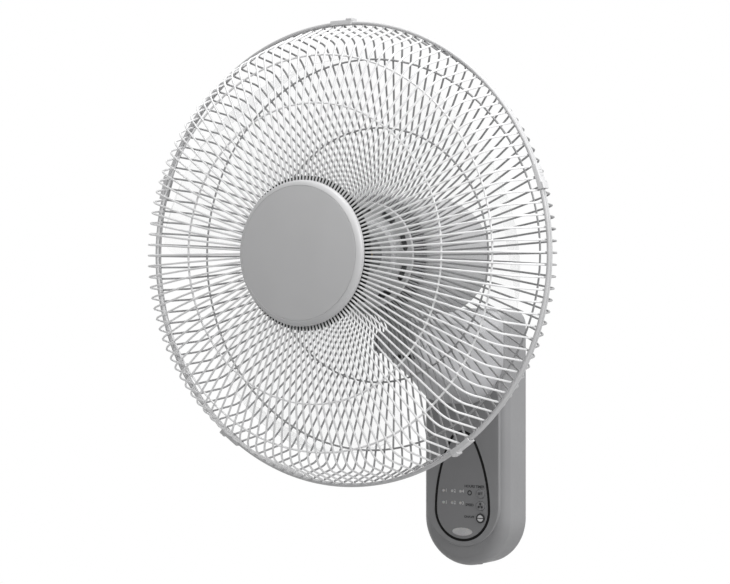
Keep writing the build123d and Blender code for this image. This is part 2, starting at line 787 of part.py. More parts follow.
# ================================================================ cage
# wire centre lines as (radius, forward) corners, with the bend radius at each
FRONT_RUN = [(60.0, 72.2), (146.0, 60.6), (205.0, 44.4), (220.43, 1.9)]
FRONT_BENDS = [300.0, 22.0]
REAR_RUN = [(50.0, -47.4), (71.0, -65.0), (118.0, -65.5), (212.5, -37.5), (220.37, -1.9)]
REAR_BENDS = [10.0, 30.0, 12.0]


def guard_wire(run, bends):
    """One radial wire of a cage, swept along its own bent line."""
    with BuildPart() as wire:
        with BuildLine(Plane.XZ) as path:
            Polyline(*run)
            corners = path.vertices().sort_by(Axis.X)[1:-1]
            for corner, bend in zip(corners, bends):
                near = path.vertices().sort_by_distance(corner)[0]
                fillet(near, bend)
        line = path.wires()[0]
        with BuildSketch(Plane(origin=line @ 0, z_dir=line % 0)):
            Circle(WIRE_R)
        sweep(path=line)
    return wire.part


def ring_of_wires(wire):
    """The same wire at every step around the head axis."""
    place = HEAD.location
    turns = PolarLocations(0, WIRE_COUNT).local_locations
    return [wire.moved(place * turn) for turn in turns]


def wire_ring(radius, forward, thickness):
    """Closed ring of round wire around the head axis."""
    with BuildPart() as ring:
        with BuildSketch(MERIDIAN):
            with Locations((radius, forward)):
                Circle(thickness)
        revolve(axis=HEAD_AXIS)
    return ring.part


FRONT_RINGS = [(62.0, 69.89), (142.6, 58.52), (189.0, 46.69)]
REAR_RINGS = [(126.0, -61.02), (192.0, -41.46)]

front_wires = ring_of_wires(guard_wire(FRONT_RUN, FRONT_BENDS))
front_guard_wires = Compound(label="front_guard_wires", children=front_wires)
export_step(front_guard_wires, "parts/front_guard_wires.step")

rear_wires = ring_of_wires(guard_wire(REAR_RUN, REAR_BENDS))
rear_guard_wires = Compound(label="rear_guard_wires", children=rear_wires)
export_step(rear_guard_wires, "parts/rear_guard_wires.step")

with BuildPart() as front_guard_rings:
    for radius, forward in FRONT_RINGS:
        add(wire_ring(radius, forward, WIRE_R))
save(front_guard_rings, "front_guard_rings")

with BuildPart() as rear_guard_rings:
    for radius, forward in REAR_RINGS:
        add(wire_ring(radius, forward, WIRE_R))
save(rear_guard_rings, "rear_guard_rings")

with BuildPart() as front_guard_rim:
    add(wire_ring(RIM_R, RIM_F, RIM_WIRE_R))
save(front_guard_rim, "front_guard_rim")

with BuildPart() as rear_guard_rim:
    add(wire_ring(RIM_R, -RIM_F, RIM_WIRE_R))
save(rear_guard_rim, "rear_guard_rim")

PLATE_R = 52.0
PLATE_SLOTS = 9
PLATE_SLOT_R = 43.0
PLATE_SLOT_TURN = 16.5
with BuildPart() as rear_guard_plate:
    revolve(
        profile(
            (SNOUT_R + 0.1, PLATE_BACK_F),
            (PLATE_R, PLATE_BACK_F),
            (PLATE_R, PLATE_FRONT_F - 0.8),
            (PLATE_R - 0.8, PLATE_FRONT_F),
            (SNOUT_R + 0.1, PLATE_FRONT_F),
        ),
        axis=HEAD_AXIS,
    )
    with BuildSketch(HEAD.offset(PLATE_BACK_F - 1)):
        with PolarLocations(PLATE_SLOT_R, PLATE_SLOTS, start_angle=PLATE_SLOT_TURN):
            SlotOverall(18.0, 7.0, rotation=90)
    extrude(amount=4, mode=Mode.SUBTRACT)
save(rear_guard_plate, "rear_guard_plate")

NUT_R = 34.0
NUT_FRONT_F = -38.8
with BuildPart() as guard_nut:
    revolve(
        profile(
            (SNOUT_R + 0.1, PLATE_FRONT_F),
            (NUT_R, PLATE_FRONT_F),
            (NUT_R, NUT_FRONT_F - 2.4),
            (NUT_R - 3, NUT_FRONT_F),
            (SNOUT_R + 0.1, NUT_FRONT_F),
        ),
        axis=HEAD_AXIS,
    )
    with BuildSketch(HEAD.offset(PLATE_FRONT_F)):
        with PolarLocations(NUT_R + 0.6, 24):
            Circle(1.6)
    extrude(amount=9, mode=Mode.SUBTRACT)
save(guard_nut, "guard_nut")

CLIP_HALF_DEG = 3.0
CLIP_TAB_DEG = 1.6
CLIP_IN_R = 221.6
CLIP_SEAT_R = RIM_R + RIM_WIRE_R + 0.05
CLIP_STRAP_R = 226.3
CLIP_TAB_R = 228.0
CLIP_SEAT_F = RIM_F + RIM_WIRE_R + 0.05
CLIP_STRAP_F = 5.2
CLIP_TAB_F = 5.6
CLIP_BEVEL = 0.7


def clip_channel(outer_r, outer_f):
    """Section of a clip: a channel, open towards the head axis, that seats on both rims."""
    return profile(
        (CLIP_IN_R, CLIP_SEAT_F),
        (CLIP_SEAT_R, CLIP_SEAT_F),
        (CLIP_SEAT_R, -CLIP_SEAT_F),
        (CLIP_IN_R, -CLIP_SEAT_F),
        (CLIP_IN_R, -outer_f),
        (outer_r - CLIP_BEVEL, -outer_f),
        (outer_r, -outer_f + CLIP_BEVEL),
        (outer_r, outer_f - CLIP_BEVEL),
        (outer_r - CLIP_BEVEL, outer_f),
        (CLIP_IN_R, outer_f),
    )


with BuildPart() as one_clip:
    revolve(
        clip_channel(CLIP_STRAP_R, CLIP_STRAP_F),
        axis=HEAD_AXIS,
        revolution_arc=2 * CLIP_HALF_DEG,
    )
    # thumb tab at the end that comes first counter-clockwise
    revolve(
        clip_channel(CLIP_TAB_R, CLIP_TAB_F),
        axis=HEAD_AXIS,
        revolution_arc=CLIP_TAB_DEG,
    )
with BuildPart() as guard_clips:
    for step in range(CLIP_COUNT):
        angle = CLIP_FIRST - CLIP_HALF_DEG + 360 / CLIP_COUNT * step
        add(one_clip.part.rotate(HEAD_AXIS, angle))
save(guard_clips, "guard_clips")

BADGE_R = 69.0
BADGE_RING_BACK_F = 66.8
BADGE_RING_T = 2.0
BADGE_POST_R = 52.0
BADGE_RING_OUT_R = 73.2  # shows between the wires as a dark line around the badge


def axis_arc(peak, radius, forward):
    """Arc from the head axis out to a radius, centred on the axis so that it turns into a sphere."""
    ball = (radius**2 + (peak - forward) ** 2) / (2 * (peak - forward))
    return CenterArc((0, peak - ball), ball, 90, -degrees(asin(radius / ball)))


with BuildPart() as badge:
    with BuildSketch(MERIDIAN):
        with BuildLine():
            dome = axis_arc(83.4, 63.0, 80.0)
            bead = ThreePointArc(dome @ 1, (67.2, 78.4), (BADGE_R, 75.0))
            Polyline(bead @ 1, (BADGE_R, 72.6), (66.8, 72.6), (66.8, 75.0), (62.5, 77.6))
            under = axis_arc(81.1, 62.5, 77.6)
            Line(under @ 0, dome @ 0)
        make_face()
    revolve(axis=HEAD_AXIS)
    # posts that the ring behind the wires is pinned to
    with BuildSketch(HEAD.offset(BADGE_RING_BACK_F + BADGE_RING_T + 0.05)):
        with PolarLocations(BADGE_POST_R, 6):
            Circle(2.5)
    extrude(amount=10.6)
save(badge, "badge")

with BuildPart() as badge_ring:
    with BuildSketch(HEAD.offset(BADGE_RING_BACK_F)):
        Circle(BADGE_RING_OUT_R)
        Circle(46, mode=Mode.SUBTRACT)
    extrude(amount=BADGE_RING_T)
save(badge_ring, "badge_ring")

with BuildPart() as badge_screws:
    with BuildSketch(HEAD.offset(BADGE_RING_BACK_F)):
        with PolarLocations(BADGE_POST_R, 6):
            Circle(2.6)
    extrude(amount=-1.6)
save(badge_screws, "badge_screws")

# ================================================================ blade
BLADE_COUNT = 3
BLADE_LEAD = 36.0  # forward rise per radian of turn
BLADE_T = 2.4
BLADE_SPAN = 62.0  # half angle covered by the raw twisted sheet


def twisted_sheet():
    """Helical sheet from inside the hub to beyond the tip, around the +X direction."""
    with BuildPart() as sheet:
        for step in range(-3, 4):
            angle = BLADE_SPAN * step / 3
            along = Plane(
                origin=HEAD.origin,
                x_dir=(cos(radians(angle)), 0, sin(radians(angle))),
                z_dir=(sin(radians(angle)), 0, -cos(radians(angle))),
            )
            rise = BLADE_LEAD * radians(angle)
            with BuildSketch(along):
                with Locations((118, rise)):
                    Rectangle(160, BLADE_T)
        loft()
    return sheet.part


def blade_outline():
    """Front view of one broad blade: near straight leading edge, swept trailing edge."""
    leading = [(36, -12), (80, -40), (128, -88), (150, -112)]
    with BuildSketch(HEAD.offset(-60)) as outline:
        with BuildLine():
            lead = Spline(*leading)
            tip = ThreePointArc(lead @ 1, (BLADE_TIP_R, 0), (96, 166.3))
            trail = Spline(tip @ 1, (66, 112), (47, 60), (36, 14))
            Line(trail @ 1, lead @ 0)
        make_face()
        fillet(outline.vertices().sort_by_distance((0, 0, 0))[-2:], 24)
    return outline.sketch


with BuildPart() as one_blade:
    add(twisted_sheet())
    extrude(blade_outline(), amount=120, dir=(0, -1, 0), mode=Mode.INTERSECT)

with BuildPart() as blade:
    revolve(
        profile(
            (SHAFT_R + 0.03, -36),
            (10, -36),
            (10, 28),
            (HUB_R - 2.4, 28),
            (HUB_R - 2.4, -36),
            (HUB_R, -36),
            (HUB_R, 26),
            (HUB_R - 5, 31),
            (SHAFT_R + 0.03, 31),
        ),
        axis=HEAD_AXIS,
    )
    for step in range(BLADE_COUNT):
        add(one_blade.part.rotate(HEAD_AXIS, 360 / BLADE_COUNT * step))
    # slot that drops over the drive pin
    with BuildSketch(HEAD.offset(-36)):
        Rectangle(20.2, 2 * PIN_R + 0.1)
    extrude(amount=36 + PIN_F + PIN_R + 0.1, mode=Mode.SUBTRACT)
save(blade, "blade")

with BuildPart() as blade_nut:
    revolve(
        profile(
            (SHAFT_R + 0.02, 31),
            (14, 31),
            (14, 38),
            (11, 44),
            (0, 44),
            (0, 39),
            (SHAFT_R + 0.02, 39),
        ),
        axis=HEAD_AXIS,
    )
    with BuildSketch(HEAD.offset(32.5)):
        with PolarLocations(14.6, 10):
            Circle(1.8)
    extrude(amount=12, mode=Mode.SUBTRACT)
save(blade_nut, "blade_nut")
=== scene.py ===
"""Looks of a wall mounted fan: wire cage with a bare badge, clear blades, motor, arm and wall box.

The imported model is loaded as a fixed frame. Each class below holds the sizes of one sub-assembly,
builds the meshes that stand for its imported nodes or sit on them, and gives every surface its
finish. Sizes are in millimetres and turn into metres as a mesh is made. X is to the right seen
from the front, Y goes into the wall and Z is up; the head's own outlines are (radius, forward)
pairs, where forward is measured towards the viewer from the plane of the hoop.
"""

import logging
import math
from collections.abc import Callable, Sequence
from dataclasses import dataclass
from enum import Enum
from functools import cache, partial

import bmesh
import bpy
import numpy as np
from mathutils import Matrix, Vector


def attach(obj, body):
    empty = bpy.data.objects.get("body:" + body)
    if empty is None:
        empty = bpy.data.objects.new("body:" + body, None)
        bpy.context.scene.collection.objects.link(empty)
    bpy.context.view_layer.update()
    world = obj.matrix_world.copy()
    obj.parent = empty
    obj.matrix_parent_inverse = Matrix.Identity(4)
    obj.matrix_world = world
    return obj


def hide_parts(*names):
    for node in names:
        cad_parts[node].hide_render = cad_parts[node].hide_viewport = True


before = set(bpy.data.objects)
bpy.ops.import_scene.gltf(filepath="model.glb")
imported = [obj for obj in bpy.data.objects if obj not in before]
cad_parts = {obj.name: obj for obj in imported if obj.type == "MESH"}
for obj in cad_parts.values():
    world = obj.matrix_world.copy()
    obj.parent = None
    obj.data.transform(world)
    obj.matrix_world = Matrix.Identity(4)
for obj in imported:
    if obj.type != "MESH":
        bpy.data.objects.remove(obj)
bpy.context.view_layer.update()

LOG = logging.getLogger("wall_fan")
MM = 0.001
SAME_CORNER = 0.004  # corners closer than this, in millimetres, become one
SHORTEST_EDGE = 0.002

Pair = tuple[float, float]
Triple = tuple[float, float, float]
Line = tuple[Pair, ...]
Sockets = tuple[tuple[str, float], ...]


class Body(Enum):
    """Moving bodies that a piece can ride on."""

    BASE = "base"
    HEAD = "head"
    ROTOR = "rotor"
    TIMER = "timer_button"
    SPEED = "speed_button"
    POWER = "power_button"


# ------------------------------------------------------------------ the head's own frame
@dataclass(frozen=True)
class HeadFrame:
    """Axis that the blades turn about, with the hoop's plane as its zero."""

    hoop_y: float = -283.0
    height: float = 190.0

    def point(self, radius: float, degrees: float, forward: float) -> Triple:
        """Place a point around the axis.

        Args:
            radius: Distance from the axis.
            degrees: Turn about the axis, counter-clockwise seen from the front, from the right.
            forward: Distance in front of the hoop's plane.

        Returns:
            The point in the shared frame.
        """
        turn = math.radians(degrees)
        return (
            radius * math.cos(turn),
            self.hoop_y - forward,
            self.height + radius * math.sin(turn),
        )


HEAD = HeadFrame()


# ------------------------------------------------------------------ finishes
@dataclass(frozen=True)
class Noise:
    """Noise pattern in an object's own coordinates.

    Attributes:
        scale: Features per metre.
        detail: Octaves.
        stretch: Scale of each axis, for drawn surfaces.
    """

    scale: float
    detail: float = 3.0
    stretch: Triple = (1.0, 1.0, 1.0)


class Sheet:
    """Nodes of one procedural material."""

    NOISE_MIDDLE = (0.3, 0.7)  # part of a noise's range that is stretched over a roughness
    RAMP_MIDDLE = (0.32, 0.68)  # and over two shades

    def __init__(self, name: str) -> None:
        """Start a material.

        Args:
            name: Its name.
        """
        self.material = bpy.data.materials.new(name)
        self.material.use_nodes = True
        self.nodes = self.material.node_tree.nodes
        self.links = self.material.node_tree.links
        self.shader = self.nodes["Principled BSDF"]
        self.place = self.nodes.new("ShaderNodeTexCoord").outputs["Object"]

    def set(self, values: Sockets) -> None:
        """Set the shader's own sockets.

        Args:
            values: Name and value of each socket.
        """
        for name, value in values:
            self.shader.inputs[name].default_value = value

    def node(self, kind: str, **values: float | tuple[float, ...]) -> bpy.types.Node:
        """Add a node.

        Args:
            kind: What comes after "ShaderNode" in its type.
            values: Socket values; an underscore in a name stands for a space.

        Returns:
            The node.
        """
        node = self.nodes.new(f"ShaderNode{kind}")
        for name, value in values.items():
            node.inputs[name.replace("_", " ")].default_value = value
        return node

    def noise(self, pattern: Noise) -> bpy.types.NodeSocket:
        """Add a noise.

        Args:
            pattern: The noise.

        Returns:
            The socket with its value.
        """
        mapping = self.node("Mapping", Scale=pattern.stretch)
        self.links.new(self.place, mapping.inputs["Vector"])
        noise = self.node("TexNoise", Scale=pattern.scale, Detail=pattern.detail)
        self.links.new(mapping.outputs["Vector"], noise.inputs["Vector"])
        return noise.outputs["Fac"]

    def tint(self, source: bpy.types.NodeSocket, colour: Triple, tones: Pair) -> None:
        """Let the base colour wander between two close shades.

        Args:
            source: The pattern that it follows.
            colour: The middle colour.
            tones: Darkest and lightest shade, as shares of the colour.
        """
        ramp = self.node("ValToRGB")
        for stop, position, tone in zip(ramp.color_ramp.elements, self.RAMP_MIDDLE, tones):
            stop.position = position
            stop.color = (*shade(colour, tone), 1.0)
        self.links.new(source, ramp.inputs["Fac"])
        self.links.new(ramp.outputs["Color"], self.shader.inputs["Base Color"])

    def rough(self, source: bpy.types.NodeSocket, low: float, high: float) -> None:
        """Let the roughness wander between two values.

        Args:
            source: The pattern that it follows.
            low: Least roughness.
            high: Greatest roughness.
        """
        first, last = self.NOISE_MIDDLE
        spread = self.node("MapRange", From_Min=first, From_Max=last, To_Min=low, To_Max=high)
        self.links.new(source, spread.inputs["Value"])
        self.links.new(spread.outputs["Result"], self.shader.inputs["Roughness"])

    def relief(self, source: bpy.types.NodeSocket, depth: float, strength: float) -> None:
        """Raise the surface by a pattern.

        Args:
            source: The pattern.
            depth: Height in metres.
            strength: How much of it shows.
        """
        bump = self.node("Bump", Distance=depth, Strength=strength)
        self.links.new(source, bump.inputs["Height"])
        self.links.new(bump.outputs["Normal"], self.shader.inputs["Normal"])


def shade(colour: Triple, factor: float) -> Triple:
    """Make a colour lighter or darker.

    Args:
        colour: The colour.
        factor: What each part of it is multiplied by.

    Returns:
        The new colour.
    """
    return tuple(min(1.0, part * factor) for part in colour)


def grey(value: float, blue: float = 0.005) -> Triple:
    """Grey with a slight cast of blue.

    Args:
        value: Its red and green.
        blue: How much more blue it has.

    Returns:
        The colour.
    """
    return (value, value, value + blue)


@dataclass(frozen=True)
class Finish:
    """Procedural finish: a tone that wanders, an uneven gloss and a fine relief.

    Attributes:
        name: Name of the material.
        colour: Its middle colour.
        roughness: Its middle roughness.
        relief: How much of the relief shows.
        tone: Pattern of the tone.
        tones: Darkest and lightest tone, as shares of the colour.
        polish: Pattern of the roughness.
        span: How far the roughness goes below and above its middle.
        grain: Pattern of the relief.
        depth: Height of the relief in metres.
        sockets: Other values of the shader.
        own: Values of the shader that one finish changes.
    """

    name: str
    colour: Triple
    roughness: float = 0.42
    relief: float = 0.2
    tone: Noise = Noise(22.0, 2.0)
    tones: Pair = (0.97, 1.03)
    polish: Noise = Noise(240.0)
    span: Pair = (-0.05, 0.08)
    grain: Noise = Noise(1500.0, 2.0)
    depth: float = 0.0001
    sockets: Sockets = ()
    own: Sockets = ()

    def material(self) -> bpy.types.Material:
        """Build the material.

        Returns:
            The material.
        """
        sheet = Sheet(self.name)
        sheet.set(self.sockets + self.own)
        self.lay_out(sheet)
        return sheet.material

    def lay_out(self, sheet: Sheet) -> None:
        """Lay out the patterns.

        Args:
            sheet: The material's nodes.
        """
        sheet.tint(sheet.noise(self.tone), self.colour, self.tones)
        low, high = self.span
        sheet.rough(sheet.noise(self.polish), self.roughness + low, self.roughness + high)
        sheet.relief(sheet.noise(self.grain), self.depth, self.relief)


@dataclass(frozen=True)
class MouldedPlastic(Finish):
    """Injection moulded plastic with a fine grain and a slight unevenness of tone."""

    relief: float = 0.12
    span: Pair = (-0.05, 0.06)
    depth: float = 0.00012
    sockets: Sockets = (("IOR", 1.5),)


@dataclass(frozen=True)
class CoatedWire(Finish):
    """Steel wire dipped in a soft looking powder coat, a little thicker in places."""

    roughness: float = 0.36
    relief: float = 0.22
    tone: Noise = Noise(35.0)
    tones: Pair = (0.95, 1.03)
    polish: Noise = Noise(400.0)
    span: Pair = (-0.06, 0.08)
    grain: Noise = Noise(650.0, 2.0)
    depth: float = 0.0002
    sockets: Sockets = (
        ("IOR", 1.5),
        ("Specular IOR Level", 0.28),
        ("Coat Weight", 0.04),
        ("Coat Roughness", 0.3),
    )


@dataclass(frozen=True)
class Metal(Finish):
    """Bare or plated metal with fine drawn lines."""

    tone: Noise = Noise(60.0, 2.0)
    tones: Pair = (0.88, 1.06)
    polish: Noise = Noise(1800.0, 2.0, (1.0, 0.06, 1.0))
    span: Pair = (-0.1, 0.12)
    grain: Noise = Noise(1800.0, 2.0, (1.0, 0.06, 1.0))
    depth: float = 0.00005
    sockets: Sockets = (("Metallic", 1.0),)


@dataclass(frozen=True)
class Rubber(Finish):
    """Matt rubber or black trim, with a faint bloom."""

    roughness: float = 0.7
    tone: Noise = Noise(90.0)
    tones: Pair = (1.0, 1.6)
    polish: Noise = Noise(500.0)
    span: Pair = (-0.1, 0.08)
    grain: Noise = Noise(1200.0)
    sockets: Sockets = (("IOR", 1.52), ("Specular IOR Level", 0.35))


@dataclass(frozen=True)
class LensPlastic(Finish):
    """Frosted or smoky translucent plastic over a lamp or a sensor."""

    roughness: float = 0.25
    relief: float = 0.15
    tone: Noise = Noise(180.0)
    tones: Pair = (0.94, 1.05)
    polish: Noise = Noise(600.0)
    grain: Noise = Noise(900.0, 1.0)
    depth: float = 0.00008
    sockets: Sockets = (
        ("IOR", 1.49),
        ("Coat Weight", 0.4),
        ("Coat Roughness", 0.08),
        ("Subsurface Weight", 0.15),
        ("Subsurface Scale", 0.002),
    )


@dataclass(frozen=True)
class ClearPlastic(Finish):
    """Thin clear plastic that shows mostly by its gloss and its edges.

    Attributes:
        cover: How much it covers where it faces the viewer, and at its edges.
        edge_blend: How far the edges reach in.
    """

    roughness: float = 0.12
    relief: float = 0.25
    tone: Noise = Noise(9.0, 1.0)
    tones: Pair = (0.97, 1.0)
    polish: Noise = Noise(60.0)
    span: Pair = (-0.04, 0.04)
    grain: Noise = Noise(28.0, 1.0)
    depth: float = 0.0004
    sockets: Sockets = (("IOR", 1.49),)
    cover: Pair = (0.025, 0.125)
    edge_blend: float = 0.35

    def lay_out(self, sheet: Sheet) -> None:
        """Lay out the patterns and the see-through faces.

        Args:
            sheet: The material's nodes.
        """
        super().lay_out(sheet)
        facing = sheet.node("LayerWeight", Blend=self.edge_blend)
        cover = sheet.node("MapRange", To_Min=self.cover[0], To_Max=self.cover[1])
        sheet.links.new(facing.outputs["Facing"], cover.inputs["Value"])
        sheet.links.new(cover.outputs["Result"], sheet.shader.inputs["Alpha"])


@dataclass(frozen=True)
class Banded(Finish):
    """Fine bands along the motor's axis: turns of wire, or edges of thin sheets.

    Attributes:
        bands: Scale of the bands.
        wobble: How uneven they run.
    """

    bands: float = 320.0
    wobble: float = 0.0

    def lay_out(self, sheet: Sheet) -> None:
        """Lay out the bands.

        Args:
            sheet: The material's nodes.
        """
        wave = sheet.node("TexWave", Scale=self.bands, Distortion=self.wobble)
        wave.bands_direction = "Y"
        sheet.links.new(sheet.place, wave.inputs["Vector"])
        sheet.tint(wave.outputs["Fac"], self.colour, self.tones)
        sheet.relief(wave.outputs["Fac"], self.depth, self.relief)
        sheet.set((("Roughness", self.roughness),))


@dataclass(frozen=True)
class CircuitBoard(Finish):
    """Solder mask over copper tracks.

    Attributes:
        scale: Scale of the tracks.
        gap: Width of the lines between them.
    """

    grain: Noise = Noise(700.0)
    tones: Pair = (0.85, 1.7)
    sockets: Sockets = (("Roughness", 0.3), ("Coat Weight", 0.4))
    scale: float = 130.0
    gap: float = 0.035

    def lay_out(self, sheet: Sheet) -> None:
        """Lay out the tracks.

        Args:
            sheet: The material's nodes.
        """
        dark, light = (shade(self.colour, tone) for tone in self.tones)
        tracks = sheet.node(
            "TexBrick",
            Scale=self.scale,
            Mortar_Size=self.gap,
            Color1=(*self.colour, 1.0),
            Color2=(*dark, 1.0),
            Mortar=(*light, 1.0),
        )
        sheet.links.new(sheet.place, tracks.inputs["Vector"])
        sheet.links.new(tracks.outputs["Color"], sheet.shader.inputs["Base Color"])
        sheet.relief(sheet.noise(self.grain), self.depth, self.relief)


class Look(Enum):
    """Every finish of the fan."""

    HOUSING = MouldedPlastic("housing_plastic", grey(0.235), 0.40)
    BACK = MouldedPlastic("back_plastic", grey(0.20), 0.55)
    ARM = MouldedPlastic("arm_plastic", grey(0.38, 0.01), 0.38)
    YOKE = MouldedPlastic("yoke_plastic", grey(0.34))
    KNOB = MouldedPlastic("knob_plastic", grey(0.16), 0.55, 0.25)
    # Near black on the motor's front bell: painted shade for the shadowed gap between the guard
    # plate and the motor.
    BELL_SHADE = MouldedPlastic("bell_painted_shade", grey(0.02, 0.001), 0.4, 0.2)
    MOTOR = MouldedPlastic("motor_plastic", grey(0.34), 0.36)
    HOOP = MouldedPlastic("hoop_plastic", grey(0.56), 0.36)
    BADGE = MouldedPlastic("badge_plastic", grey(0.49), relief=0.05, tones=(0.985, 1.015))
    PLATE = MouldedPlastic("plate_plastic", grey(0.46), 0.40)
    NUT = MouldedPlastic("nut_plastic", grey(0.36), 0.45)
    PANEL = MouldedPlastic("panel_plastic", grey(0.198), 0.34, 0.04, tones=(0.98, 1.02))
    BUTTON = MouldedPlastic("button_plastic", grey(0.200), 0.36)
    PALE_BUTTON = MouldedPlastic("pale_button_plastic", grey(0.60), 0.3)
    NYLON = MouldedPlastic("nylon_washer", grey(0.78, -0.03), 0.35)
    WIRE = CoatedWire("wire_coating", grey(0.82))
    # Painted shade: the rear guard has the front wires' coating, painted much darker.
    SHADED_REAR_WIRE = CoatedWire("rear_wire_painted_shade", grey(0.34))
    RIM = CoatedWire("rim_coating", grey(0.52), 0.42)
    BLADE = ClearPlastic("clear_blade_plastic", (0.80, 0.82, 0.83))
    SENSOR = LensPlastic("sensor_window", grey(0.47))
    LENS = LensPlastic("lamp_lens", grey(0.46, -0.005), own=(("Subsurface Weight", 0.3),))
    TRIM = Rubber("black_trim", grey(0.012, 0.0), 0.5)
    # Partly painted shade: the black gasket band is widened over the panel's edge to stand for the
    # shaded groove around the panel.
    GASKET = Rubber("gasket_rubber_and_groove_shade", grey(0.004, 0.0), 0.6, own=(("Specular IOR Level", 0.1),))
    RUBBER = Rubber("black_rubber", grey(0.016, 0.0))
    DARK_INK = Rubber("dark_ink", grey(0.015, 0.001), 0.45)
    LIGHT_INK = MouldedPlastic("light_ink", grey(0.56, 0.0), 0.5)
    ZINC = Metal("zinc_plate", (0.56, 0.57, 0.58), 0.38)
    SCREW = Metal("screw_steel", grey(0.48, 0.01), 0.3)
    SHAFT = Metal("ground_shaft", grey(0.58, 0.01), 0.2)
    BRONZE = Metal("sintered_bronze", (0.45, 0.31, 0.15), 0.45)
    COPPER = Banded(
        "wound_copper",
        (0.55, 0.23, 0.09),
        roughness=0.35,
        relief=0.6,
        tones=(0.7, 1.1),
        depth=0.0002,
        sockets=(("Metallic", 0.8), ("Coat Weight", 0.3)),
        bands=420.0,
        wobble=1.5,
    )
    CORE = Banded(
        "core_laminations",
        grey(0.20, 0.01),
        roughness=0.45,
        relief=0.4,
        tones=(0.6, 1.2),
        sockets=(("Metallic", 0.9),),
    )
    BOARD = CircuitBoard("circuit_board", (0.03, 0.13, 0.06))

    @cache
    def material(self) -> bpy.types.Material:
        """Build the material once, for all of its pieces.

        Returns:
            The material.
        """
        return self.value.material()


Looks = tuple[tuple[Look, tuple[str, ...]], ...]


